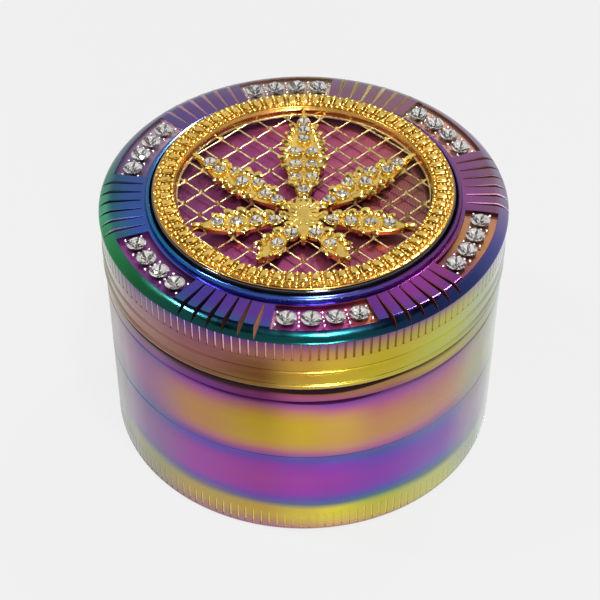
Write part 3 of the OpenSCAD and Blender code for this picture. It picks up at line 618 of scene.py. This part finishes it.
def cut_colour(graph, az, az_w, depth):
    """Colour inside the pockets and slots, with painted shade: one side of a slot and a pocket's steep walls
    are painted darker, and a light line along the cut edges is a painted highlight.
    """
    groups = graph.math("FRACT", graph.math("DIVIDE", graph.math("SUBTRACT", az, POCKET_AZ), GROUP_STEP))
    first = 0.5 - (GROUP_STEP / 2 / SLOT_STEP - 2.5) % 1
    slots = graph.math("MULTIPLY_ADD", groups, GROUP_STEP / SLOT_STEP, first)
    across = graph.math("MULTIPLY", graph.math("SUBTRACT", graph.math("FRACT", slots), 0.5), SLOT_STEP * 0.49)
    from_pocket = graph.math("PINGPONG", graph.math("ADD", az, 180.0 - POCKET_AZ), GROUP_STEP / 2)
    in_slots = graph.step(from_pocket, SLOTS_FROM, SLOTS_FROM + 0.3)
    # Painted shade: one side of each slot, and the steep pocket walls in a fixed dark colour.
    shade = graph.math("MULTIPLY", graph.step(across, -0.03, 0.03), 0.9)
    wall = graph.math("MULTIPLY", graph.step(graph.normal_z(), 0.8, 0.4), 0.8)
    dark = graph.mix(in_slots, linear((52, 30, 44), LIGHT), graph.ramp(az_w, CUT_PAINTED_SHADE))
    inner = graph.mix(graph.mix(in_slots, wall, shade), graph.ramp(az_w, CUT_LIT), dark)
    return graph.mix(graph.between(depth, 0.05, 0.14, 0.03), inner, graph.ramp(az_w, CUT_EDGE_PAINTED_HIGHLIGHT))


def lid_material():
    """The lid's plating: skirt, lip, face, cuts, rim round the medallion, recess floor, inside and knurl."""
    graph = Graph("plating_lid", metallic=1.0, anisotropic=0.3)
    az, r, z = graph.azimuth(), graph.radius(), graph.z
    wander = graph.span(graph.noise(0.06, 1.0), -1.0, 1.0)
    az_w = graph.math("MULTIPLY_ADD", wander, 5.0, az)
    skirt = wall_colour(graph, az, graph.math("MULTIPLY_ADD", wander, 0.25, z), SKIRT)
    colour = graph.mix(graph.step(z, LIP_Z - 0.15, LIP_Z + 0.05), skirt, graph.ramp(az_w, LIP))
    out_share = graph.step(graph.math("MULTIPLY_ADD", wander, 0.8, r), 26.6, 30.4)
    face = graph.mix(out_share, graph.ramp(az_w, FACE_IN), graph.ramp(az_w, FACE_OUT))
    on_face = graph.both(graph.step(z, TOP - 0.5, TOP - 0.02), graph.step(r, LIP_IN_R + 1.2, LIP_IN_R - 0.3))
    colour = graph.mix(on_face, colour, face)
    depth = below_face(graph, r)
    cut = graph.both(graph.step(depth, 0.05, 0.09), graph.step(z, LIP_Z + 0.04, LIP_Z + 0.1))
    outside_rim = graph.step(r, RIM_R, RIM_R + 0.1)
    colour = graph.mix(graph.both(cut, outside_rim), colour, cut_colour(graph, az, az_w, depth))
    on_rim = graph.both(graph.step(r, RIM_R + 0.03, RIM_R - 0.03), graph.step(z, TOP - 1.0, TOP - 0.8))
    colour = graph.mix(on_rim, colour, graph.ramp(az_w, RIM))
    in_recess = graph.both(graph.step(r, RIM_R - 0.9, RIM_R - 1.0),
                           graph.between(z, RECESS_Z - 0.5, RECESS_Z + 0.5, 0.02))
    floor = graph.ramp(graph.math("MULTIPLY_ADD", wander, 2.0, graph.x), FLOOR)
    colour = graph.mix(in_recess, colour, floor)
    under = graph.step(graph.math("SUBTRACT", RECESS_Z - 0.5, z), 1.5, 1.6)
    inside = graph.both(under, graph.step(r, LID_R - 1.3, LID_R - 1.5))
    colour = graph.mix(inside, colour, graph.ramp(az_w, INSIDE))
    notch = graph.both(graph.step(r, LID_R - 0.23, LID_R - 0.27), graph.step(r, LID_R - 1.1, LID_R - 1.0),
                       graph.between(z, LIP_Z - LID_KNURL_H, LIP_Z, 0.02))
    graph.set("Base Color", graph.mix(notch, colour, graph.ramp(az, NOTCH)))
    dull_cuts = graph.math("MULTIPLY", graph.math("MAXIMUM", cut, notch), 0.25)
    extra = graph.math("MULTIPLY_ADD", in_recess, 0.03, dull_cuts)
    finish_turned(graph, graph.math("ADD", r, z), 0.15, extra)
    rings = graph.math("SINE", graph.math("MULTIPLY", r, 2 * math.pi / 0.42))
    graph.bump(graph.math("MULTIPLY", rings, in_recess), 0.35, 0.012)
    return graph.material


def gold(name, colour, gloss, tone=0.16):
    """Cast and plated metal: slightly uneven colour and gloss, with a fine skin."""
    graph = Graph(name, metallic=1.0)
    graph.two_tone(graph.noise(0.35, 3.0), colour, [v * (1 - tone) for v in colour])
    graph.set("Roughness", graph.span(graph.noise(1.2, 3.0), gloss - 0.05, gloss + 0.08))
    graph.bump(graph.noise(2.5, 4.0), 0.3, 0.02)
    return graph.material


def black_gloss():
    """Glossy black plastic with a thin clear coat."""
    graph = Graph("black_gloss", roughness=0.07, ior=1.55, coat_weight=0.6, coat_roughness=0.03)
    graph.two_tone(graph.noise(0.4, 2.0), (9, 9, 11), (20, 19, 20))
    graph.bump(graph.noise(1.0, 3.0), 0.1, 0.01)
    return graph.material


def crystal():
    """Clear cut glass."""
    graph = Graph("crystal", roughness=0.0, ior=1.6, transmission_weight=1.0)
    tint = graph.span(graph.noise(0.3, 1.0), 0.0, 1.0)
    graph.set("Base Color", graph.mix(tint, (1.0, 1.0, 1.0, 1), (0.93, 0.96, 0.98, 1)))
    return graph.material


def foil(name, bright, dull):
    """The mirror foil on the back of a stone, a little patchy."""
    graph = Graph(name, metallic=0.6, roughness=0.2)
    graph.two_tone(graph.noise(1.6, 3.0), bright, dull)
    return graph.material


def nickel():
    """Polished nickel with fine scuffs."""
    graph = Graph("nickel", metallic=1.0)
    graph.two_tone(graph.noise(0.6, 3.0), (214, 212, 208), (190, 188, 184))
    graph.set("Roughness", graph.span(graph.noise(1.5, 4.0), 0.1, 0.24))
    graph.bump(graph.noise(6.0, 3.0), 0.2, 0.006)
    return graph.material


def spring_steel():
    """Steel with turning marks by radius."""
    graph = Graph("spring_steel", metallic=1.0)
    marks = graph.noise_of(graph.radius(), 10.0, 4.0)
    graph.two_tone(marks, (150, 150, 152), (186, 186, 188))
    graph.set("Roughness", graph.span(marks, 0.22, 0.4))
    graph.bump(marks, 0.4, 0.02)
    return graph.material


def nylon():
    """Milky nylon."""
    graph = Graph("nylon", roughness=0.42, ior=1.53, subsurface_weight=0.25, subsurface_scale=0.5 * MM)
    graph.two_tone(graph.noise(0.5, 3.0), (236, 234, 226), (222, 219, 208))
    graph.bump(graph.noise_of(graph.radius(), 8.0), 0.2, 0.01)
    return graph.material


GOLD_METAL = gold("gold_plating", (238, 202, 104), 0.17)
# A darker copy of the gold for the ring's body and the leaf's sides: painted shade.
GOLD_PAINTED_SHADE = gold("gold_painted_shade", (200, 150, 76), 0.2)
GOLD_WIRE = gold("gold_wire", (236, 222, 160), 0.28)
BLACK, CRYSTAL, NICKEL = black_gloss(), crystal(), nickel()
FOIL = foil("foil", (255, 253, 250), (226, 222, 216))
# Dark foil on some back facets and round the girdle: painted dark reflections and painted shade.
FOIL_PAINTED_DARK = foil("foil_painted_dark", (128, 118, 114), (72, 66, 70))
# Near-white beads: real prongs whose colour carries a painted glint.
PRONG_PAINTED_GLINT = gold("prong_painted_glint", (252, 236, 244), 0.24, tone=0.2)


# ---- Finish on the CAD parts ----
def dress(node, material, crease=32):
    """Gives a CAD part its material, and smooths its shading across the seams of its CAD faces."""
    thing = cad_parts[node]
    mesh = thing.data
    mesh.materials.clear()
    mesh.materials.append(material)
    if "custom_normal" in mesh.attributes:
        mesh.attributes.remove(mesh.attributes["custom_normal"])
    mesh.polygons.foreach_set("use_smooth", [True] * len(mesh.polygons))
    join = thing.modifiers.new("join", "WELD")
    join.merge_threshold = 2e-6
    split = thing.modifiers.new("split", "EDGE_SPLIT")
    split.split_angle = math.radians(crease)
    even = thing.modifiers.new("even", "WEIGHTED_NORMAL")
    even.keep_sharp = True


dress("lid", lid_material())
dress("chamber_body", plating("plating_chamber", BAND))
dress("sieve_body", plating("plating_sieve", SIEVE))
dress("base_cup", plating("plating_base", BASE))
dress("chamber_magnet", NICKEL)
dress("lid_magnet", NICKEL)
dress("slip_ring", nylon())
dress("screen_ring", spring_steel())


# ---- Gold ring ----
RING_TEETH = 70
LAND_Z = RING_TOP - 0.6


def gold_ring():
    """The ring's body, with square teeth and rows of small beads between and beside them."""
    shape = Shape()
    outline = rounded([
        (RING_IN - 0.3, LATTICE_HI[2] + 0.05, 0.5), (SEAT_IN - 0.05, LATTICE_HI[2] + 0.05, 0),
        (SEAT_IN - 0.05, FLANGE_Z + 0.03, 0), (RING_R, FLANGE_Z + 0.03, 0.6), (RING_R, LAND_Z - 0.05, 0.8),
        (RING_R - 0.55, LAND_Z + 0.02, 0.5), (RING_IN, LAND_Z, 0.8),
        (RING_IN - 0.35, FLANGE_Z - 0.3, 1)], 0.2)
    # The ring's body in the darker gold: painted shade.
    shape.add(*lathe(outline), 1)
    tooth = block(1.02, 1.16, RING_IN + 0.55, RING_R - 1.2, LAND_Z - 0.1, RING_TOP - 0.06, 0.26)
    on_tooth = [(0.36, RING_R - 0.78, RING_TOP - 0.44), (0.3, RING_IN + 0.3, RING_TOP - 0.46)]
    in_gap = [(0.36, RING_IN + 0.3, RING_TOP - 0.41), (0.24, RING_IN + 1.15, LAND_Z + 0.2),
              (0.24, RING_IN + 1.75, LAND_Z + 0.2), (0.36, RING_R - 1.0, RING_TOP - 0.41),
              (0.28, RING_R - 0.36, LAND_Z + 0.06)]
    dice = random.Random(7)
    for i in range(2 * RING_TEETH):
        az = math.pi * i / RING_TEETH
        beads = in_gap if i % 2 else on_tooth
        if beads is on_tooth:
            shape.add(rotated(tooth[0], az), tooth[1])
        for radius, out, up in beads:
            points, faces = bead(radius * dice.uniform(0.86, 1.1))
            shape.add(rotated(points, az + dice.uniform(-0.003, 0.003), out, up), faces)
    shape.make("gold_ring", [GOLD_METAL, GOLD_PAINTED_SHADE], "lid", ["medallion_ring"], 40)


def black_seat():
    """The black ring under the gold one."""
    shape = Shape()
    outline = rounded([
        (SEAT_IN - 0.8, RECESS_Z, 0), (SEAT_HI[0], RECESS_Z, 0), (SEAT_HI[0], FLANGE_Z, 1),
        (SEAT_IN, FLANGE_Z, 0.4), (SEAT_IN, LATTICE_LO[2] - 0.02, 0),
        (SEAT_IN - 0.8, LATTICE_LO[2] - 0.02, 0.4)], 0.28)
    shape.add(*lathe(outline))
    shape.make("black_seat", [BLACK], "lid", ["medallion_seat"], 60)


# ---- Lattice ----
LATTICE_PITCH = 3.7
WIRE_R = 0.14


def lattice():
    """Crossed wires inside a thin rim, with a four-pointed stud on each crossing."""
    shape = Shape()
    z = (LATTICE_LO[2] + LATTICE_HI[2]) / 2
    reach = SEAT_IN - 0.25
    count = int(reach / LATTICE_PITCH)
    diagonal = math.radians(45)
    for turn in (diagonal, -diagonal):
        for i in range(-count, count + 1):
            half = math.sqrt(reach**2 - (i * LATTICE_PITCH) ** 2)
            points, faces = rod((-half, i * LATTICE_PITCH, z), (half, i * LATTICE_PITCH, z), WIRE_R)
            shape.add(turned(points, turn), faces)
    lo, hi = LATTICE_LO[2], LATTICE_HI[2]
    rim = [(SEAT_IN - 1.1, lo), (SEAT_IN - 0.02, lo), (SEAT_IN - 0.02, hi), (SEAT_IN - 1.0, hi)]
    shape.add(*lathe(rounded([(r, h, 0.5) for r, h in rim], 0.1)))
    outline = []
    for k in range(8):
        a, r, up = k * diagonal, 0.62 if k % 2 else 0.3, 0.1 if k % 2 else 0.02
        outline.append((r * math.cos(a), r * math.sin(a), up))
    stud, stud_faces = peaked((0, 0, 0.62), outline, 0.8, -0.12)
    for i in range(-count, count + 1):
        for k in range(-count, count + 1):
            x, y = (i - k) * LATTICE_PITCH / math.sqrt(2), (i + k) * LATTICE_PITCH / math.sqrt(2)
            if math.hypot(x, y) < RING_IN - 1.2:
                shape.add(stud + [x, y, z + 0.05], stud_faces)
    shape.make("lattice", [GOLD_WIRE], "lid", ["medallion_lattice"], 25)


# ---- Cut stones ----
def cut_stone(girdle, pavilion, crown, table=0.56):
    """A round brilliant, its culet at z = 0: points, crown faces, bright back faces, and back faces painted
    dark for the stone's dark reflections and the shade at its girdle.
    """
    rim_up, rim_lo, top = pavilion + 0.05 * girdle, pavilion, pavilion + crown
    mid_r, mid_share = 0.8, 1 - (0.8 * math.cos(math.pi / 8) - table) / (1 - table)
    low_r, low_share = 0.4, 0.4 * math.cos(math.pi / 8)

    def ring(r, z, count, shift=0.0):
        return [(girdle * r * math.cos(2 * math.pi * (k + shift) / count),
                 girdle * r * math.sin(2 * math.pi * (k + shift) / count), z) for k in range(count)]

    points = ring(table, top, 8) + ring(mid_r, rim_up + (top - rim_up) * mid_share, 8, 0.5)
    points += ring(1, rim_up, 16) + ring(1, rim_lo, 16)
    points += ring(low_r, pavilion * low_share, 8, 0.5) + [(0, 0, 0)]
    t, m, g, h, p, culet = 0, 8, 16, 32, 48, 56
    # Every other main back facet, some lower facets and the girdle take the dark foil: painted dark
    # reflections and painted shade.
    above, below, dark = [list(range(8))], [], []
    for k in range(8):
        n, b = (k + 1) % 8, (k - 1) % 8
        above += [[t + k, m + k, t + n], [t + k, m + b, g + 2 * k, m + k],
                  [m + k, g + 2 * k, g + 2 * k + 1], [m + k, g + 2 * k + 1, g + (2 * k + 2) % 16]]
        (dark if k % 2 else below).append([culet, p + b, h + 2 * k, p + k])
        below.append([p + k, h + 2 * k, h + 2 * k + 1])
        (dark if k % 4 == 2 else below).append([p + k, h + 2 * k + 1, h + (2 * k + 2) % 16])
    dark += [[g + k, h + k, h + (k + 1) % 16, g + (k + 1) % 16] for k in range(16)]
    return np.array(points), above, below, dark


def set_stones(name, centres, node, girdle, pavilion, crown, foot, turns):
    """The stones of one CAD node, each turned its own way in its seat and leaning a touch."""
    shape = Shape()
    points, above, below, dark = cut_stone(girdle, pavilion, crown)
    for x, y in centres:
        lean_x, lean_y = turns.uniform(-0.05, 0.05), turns.uniform(-0.05, 0.05)
        placed = turned(points, turns.uniform(0, math.pi / 4))
        placed[:, 2] += (lean_x * placed[:, 0] + lean_y * placed[:, 1]) * (placed[:, 2] > 0.1 * pavilion)
        placed = placed + [x, y, foot]
        for slot, faces in enumerate((above, below, dark)):
            shape.add(placed, faces, slot)
    shape.make(name, [CRYSTAL, FOIL, FOIL_PAINTED_DARK], "lid", [node], 3)


def lid_stones():
    """Four stones in each pocket."""
    for g in range(GROUPS):
        centres = []
        for k in range(PER_POCKET):
            az = stone_az(g, k - (PER_POCKET - 1) / 2)
            centres.append((POCKET_R * math.sin(az), -POCKET_R * math.cos(az)))
        set_stones(f"stones_{g + 1}", centres, f"lid_stones_{g + 1}", 1.5, 1.08, 0.54, POCKET_Z - 0.35,
                   random.Random(10 + g))


def lid_prongs():
    """Small beads on posts that grip the lid stones: four between two stones, and two at a pocket's ends."""
    shape = Shape()
    # The beads' near-white colour is a painted glint on the prongs.
    small, large = bead(0.22), bead(0.27)
    post = rod((0, 0, -0.42), (0, 0.001, 0), 0.13)
    for g in range(GROUPS):
        for k in range(PER_POCKET + 1):
            az = stone_az(g, k - PER_POCKET / 2)
            end = k in (0, PER_POCKET)
            if end:
                az += math.radians(0.55) * (1 if k == 0 else -1)
            for out in (-1.25, 1.25) if end else (-1.3, -0.42, 0.42, 1.3):
                for points, faces in (small if abs(out) < 1 else large, post):
                    shape.add(rotated(points, az, POCKET_R + out, POCKET_Z + 0.42), faces)
    shape.make("stone_prongs", [PRONG_PAINTED_GLINT], "lid", (), 50)


# ---- Leaf ----
HUB = Vector((0, -6.5))
UPPER_HEADING = 39.5
# Each leaflet: heading from +X in degrees, length, half-width, share of the length where it is widest
LEAFLETS = {"top": (90, 25.8, 3.7, 0.42), "upper": (UPPER_HEADING, 22.7, 3.0, 0.42),
            "side": (-8.6, 17.2, 2.8, 0.42), "lower": (-56, 12.3, 2.5, 0.5)}


def half_width(t, half, length, widest):
    """Half the width of a leaflet at the share t of its length."""
    bulge = math.sqrt(math.sin(math.pi / 2 * t / widest)) if t < widest else \
        math.cos(math.pi / 2 * (t - widest) / (1 - widest)) ** 0.8
    return min(math.tan(math.radians(16)) * length * t, half * bulge)


def stone_places():
    """Centres of the leaf's stones by CAD node."""
    def row(start, heading, pitch, count):
        a = math.radians(heading)
        return [HUB + Vector(start) + pitch * i * Vector((math.cos(a), math.sin(a))) for i in range(count)]

    up = math.radians(UPPER_HEADING)
    along, across = Vector((math.cos(up), math.sin(up))), Vector((-math.sin(up), math.cos(up)))
    upper = [HUB + (5.1 + 2.3 * i) * along + (0.4 + 0.7 * (-1) ** i if 0 < i < 6 else 0) * across
             for i in range(7)]
    side = row((4.3, -1.5), -4, 2.85, 4)
    lower = row((1.8, -4.5), -47, 3.1, 2)
    pairs = [(s * 1.3, 8.4 + 3.15 * i) for i in range(3) for s in (-1, 1)]
    top = [HUB + Vector(p) for p in [(0, 5.6)] + pairs + [(0, 18 + 2.1 * i) for i in range(3)]]
    places = {"leaf_stones_top": top}
    for centres, name in ((upper, "upper"), (side, "side"), (lower, "lower")):
        places[f"leaf_stones_{name}_right"] = centres
        places[f"leaf_stones_{name}_left"] = [Vector((-p.x, p.y)) for p in centres]
    return places


def leaflet(shape, heading, length, half, widest, stones, dice):
    """One leaflet: a plate with fluted sides, and large and small thorns in turn along each edge."""
    base_z, edge_z, crown_z = LATTICE_HI[2], LEAF_TOP - 0.3, LEAF_TOP - 0.5
    turn = math.radians(heading)
    rows = 28
    points, columns = [], 7
    for i in range(rows):
        t = 0.03 + 0.95 * i / (rows - 1)
        w = max(0.12, half_width(t, half, length, widest) - 0.4)
        x = length * t
        points += [(x, -w * 0.86, base_z), (x, -w, edge_z - 0.25), (x, -w * 0.9, edge_z), (x, 0, crown_z),
                   (x, w * 0.9, edge_z), (x, w, edge_z - 0.25), (x, w * 0.86, base_z)]
    faces = grid_faces(rows, columns, False, True)
    at = (HUB.x, HUB.y, 0)
    placed = turned(points, turn, at)
    shape.add(placed, [f for k, f in enumerate(faces) if k % columns in (1, 2, 3, 4)], 0)
    ends = [list(range(columns)), [(rows - 1) * columns + k for k in range(columns)]]
    # The lower sides and ends in the darker gold: painted shade.
    shape.add(placed, [f for k, f in enumerate(faces) if k % columns in (0, 5, 6)] + ends, 1)
    step = 1.02
    count = int((length * 0.9 - 2.4) / step)
    for side in (-1, 1):
        for i in range(count):
            large = i % 2 == 0
            x = 2.7 + i * step
            w = half_width(x / length, half, length, widest)
            shrink = (1 - 0.35 * max(0, x / length - 0.55) / 0.45) * dice.uniform(0.93, 1.07)
            size, width, height, point = (2.3, 1.5, 1.0, 1.7) if large else (1.5, 0.95, 0.75, 1.4)
            body, thorn = grain(size * shrink, width * shrink, height, 6, 6, point)
            spread = math.radians(56 if large else 40) * side
            put = turned(turned(body, -math.pi / 2), spread)
            put[:, 2] += 0.15 * (put[:, 0] * math.cos(spread) + put[:, 1] * math.sin(spread))
            out = w - (0.5 if large else 0.85) * shrink
            spot = turned([(x, side * out, 0)], turn, at)[0]
            if min(math.hypot(spot[0] - c.x, spot[1] - c.y) for c in stones) < 1.45:
                continue
            put = put + [x + 0.2, side * out, LEAF_TOP - (0.3 if large else 0.18)]
            shape.add(turned(put, turn, at), thorn, 0)
            if large:
                # Flutes in the darker gold: painted shade.
                flute = rod((0, 0, base_z + 0.02), (0, 0.12 * side, LEAF_TOP - 0.45), 0.42 * shrink)
                put = np.array(flute[0]) + [x + 0.1, side * (w - 0.7 * shrink), 0]
                shape.add(turned(put, turn, at), flute[1], 1)
    tip, thorn = grain(0.12 * length, 0.8, 0.7, point=0.8)
    shape.add(turned(turned(tip, -math.pi / 2) + [length * 0.94, 0, LEAF_TOP - 0.2], turn, at), thorn, 0)


def leaf():
    """The leaflets, the star and stem where they meet, and a cup and prongs for each stone."""
    shape = Shape()
    dice = random.Random(4)
    stones = [c for centres in stone_places().values() for c in centres]
    for name, (heading, *form) in LEAFLETS.items():
        leaflet(shape, heading, *form, stones, dice)
        if name != "top":
            leaflet(shape, 180 - heading, *form, stones, dice)
    arms, outline = 15, []
    for k in range(2 * arms):
        a = math.pi * k / arms + math.pi / 2
        r, z = (1.0, LEAF_TOP + 0.14) if k % 2 == 0 else (0.78, LEAF_TOP + 0.02)
        outline.append((2.75 * r * math.cos(a), 3.5 * r * math.sin(a) + 0.1, z))
    star, faces = peaked((0, 0, LEAF_TOP + 0.24), outline, 0.85, LATTICE_HI[2])
    shape.add(star + [HUB.x, HUB.y, 0], faces, 0)
    for k in range(arms):
        a = 2 * math.pi * k / arms + math.pi / 2
        rib, ends = grain(1.7, 0.3, 0.2, point=0.8)
        put = turned(turned(rib, -math.pi / 2) + [1.7, 0, 0], a) * [1, 1.25, 1]
        shape.add(put + [HUB.x, HUB.y + 0.2, LEAF_TOP + 0.16], ends, 0)
    stem = [(-0.95, -2.9, LEAF_TOP - 0.1), (0.95, -2.9, LEAF_TOP - 0.1), (0.9, -4.4, LEAF_TOP - 0.2),
            (0.3, -5.6, LEAF_TOP - 0.4), (-0.3, -5.6, LEAF_TOP - 0.4), (-0.9, -4.4, LEAF_TOP - 0.2),
            (0, -2.9, LEAF_TOP + 0.3), (0, -4.4, LEAF_TOP + 0.45), (0, -5.4, LEAF_TOP)]
    stem += [(0.9 * x, y, LATTICE_HI[2]) for x, y, _ in stem[:6]]
    stem_faces = [[0, 6, 7, 5], [5, 7, 8, 4], [1, 2, 7, 6], [2, 3, 8, 7], [3, 4, 8], [0, 1, 6],
                  [0, 5, 14, 9], [5, 4, 13, 14], [4, 3, 12, 13], [3, 2, 11, 12], [2, 1, 10, 11],
                  [1, 0, 9, 10], [9, 14, 13, 12, 11, 10]]
    shape.add(np.array(stem) + [HUB.x, HUB.y, 0], stem_faces, 0)
    prong = bead(0.2)
    cup = lathe(rounded([(0.45, LEAF_TOP - 0.35, 0), (0.45, LEAF_TOP - 0.7, 0), (1.09, LEAF_TOP - 0.7, 0),
                         (1.12, LEAF_TOP + 0.02, 1), (0.86, LEAF_TOP + 0.05, 0.5)], 0.14, 3), 24)
    for centres in stone_places().values():
        for place in centres:
            shape.add(cup[0] + [place.x, place.y, 0], cup[1], 0)
        for a, b in zip(centres, centres[1:]):
            middle, gap = (a + b) / 2, (b - a)
            if gap.length > 3.6:
                continue
            side = Vector((-gap.y, gap.x)).normalized()
            for s in (-0.72, 0.72):
                place = middle + side * s
                shape.add(prong[0] + [place.x, place.y, LEAF_TOP + 0.14], prong[1], 0)
    shape.make("leaf", [GOLD_METAL, GOLD_PAINTED_SHADE], "lid", ["leaf_emblem"], 40)


def leaf_gems():
    """The leaf's stones, one object for each CAD node."""
    for i, (node, centres) in enumerate(stone_places().items()):
        set_stones(node.replace("leaf_stones", "leaf_gems"), centres, node, 1.0, 0.72, 0.36, LEAF_TOP - 0.6,
                   random.Random(30 + i))


# ---- Woven screen ----
def woven_screen():
    """The gauze as real over-and-under wires inside a pressed rim, drawn coarser than the real mesh."""
    shape = Shape()
    lo, hi = node_box("sieve_screen")
    z, reach, pitch = (lo[2] + hi[2]) / 2, hi[0] - 0.5, 0.62
    count = int(reach / pitch)
    for flip in (False, True):
        for i in range(-count, count + 1):
            across = i * pitch
            half = math.sqrt(max(reach**2 - across**2, 0.2))
            steps = max(4, int(2 * half / pitch) * 2)
            spine = [(-half + 2 * half * k / steps) for k in range(steps + 1)]
            ring = []
            for x in spine:
                wave = 0.045 * math.cos(math.pi * x / pitch + math.pi * (i + flip))
                for side, up in ((0.05, 0), (0, 0.05), (-0.05, 0), (0, -0.05)):
                    p = (x, across + side, z + wave + up)
                    ring.append((p[1], p[0], p[2]) if flip else p)
            faces = grid_faces(len(spine), 4, False, True)
            shape.add(ring, faces + [[0, 1, 2, 3], [len(ring) - 4 + k for k in range(4)]])
    outline = [(reach - 0.4, lo[2]), (hi[0], lo[2]), (hi[0], hi[2]), (reach - 0.4, hi[2])]
    shape.add(*lathe(rounded([(r, h, 1) for r, h in outline], 0.05), 180))
    shape.make("woven_screen", [spring_steel()], "sieve_section", ["sieve_screen"], 60)


gold_ring()
black_seat()
lattice()
lid_stones()
lid_prongs()
leaf()
leaf_gems()
woven_screen()


# ---- Studio ----
def plain(name, colour, glow):
    """A matt colour with a white glow."""
    material = bpy.data.materials.new(name)
    material.use_nodes = True
    shader = material.node_tree.nodes["Principled BSDF"]
    shader.inputs["Base Color"].default_value = (*colour, 1)
    shader.inputs["Roughness"].default_value = 0.9
    shader.inputs["Specular IOR Level"].default_value = 0.0
    shader.inputs["Emission Color"].default_value = (1, 1, 1, 1)
    shader.inputs["Emission Strength"].default_value = glow
    return material


def sheet(name, size, at, material, seen=True):
    """A level sheet of the studio."""
    bpy.ops.mesh.primitive_plane_add(size=1, location=at)
    thing = bpy.context.object
    thing.name, thing.scale = name, (size[0], size[1], 1)
    thing.data.materials.append(material)
    thing.visible_camera = seen


def lamp(name, at, size, power):
    """A round or rectangular lamp aimed at the object."""
    data = bpy.data.lights.new(name, "AREA")
    data.energy = power
    if isinstance(size, tuple):
        data.shape, (data.size, data.size_y) = "RECTANGLE", size
    else:
        data.shape, data.size = "DISK", size
    thing = bpy.data.objects.new(name, data)
    thing.location = at
    thing.rotation_euler = (CENTRE - Vector(at)).to_track_quat("-Z", "Y").to_euler()
    bpy.context.scene.collection.objects.link(thing)


sheet("floor", (6, 6), (0, 0, -0.0002), plain("floor_paint", (0.03, 0.03, 0.03), 0.81))
sheet("ceiling", (0.62, 0.5), (0, 0.02, 0.5), plain("dark_cloth", (0.03, 0.03, 0.035), 0.0), seen=False)

world = bpy.data.worlds.new("studio")
world.use_nodes = True
world.node_tree.nodes["Background"].inputs[0].default_value = (LIGHT, LIGHT, LIGHT, 1)
bpy.context.scene.world = world
bpy.context.scene.view_settings.view_transform = "Standard"

CENTRE = Vector((0, 0, 0.03))
lamp("key", (0.05, -0.13, 0.45), 0.05, 1.6)
lamp("left", (-0.22, 0.02, 0.40), 0.04, 0.8)
lamp("back", (0.14, 0.22, 0.42), 0.05, 0.8)
lamp("front", (0.083, -0.49, 0.17), (0.12, 0.08), 2.5)

camera = bpy.data.objects.new("camera", bpy.data.cameras.new("camera"))
bpy.context.scene.collection.objects.link(camera)
camera.data.lens = 102.7
camera.data.sensor_width = 36
camera.data.clip_start, camera.data.clip_end = 0.01, 10
camera.location = (0, -0.2011, 0.2130)
aim = Vector((-0.00056, 0, 0.0203)) - camera.location
camera.rotation_mode = "QUATERNION"
camera.rotation_quaternion = aim.to_track_quat("-Z", "Y")
bpy.context.scene.camera = camera
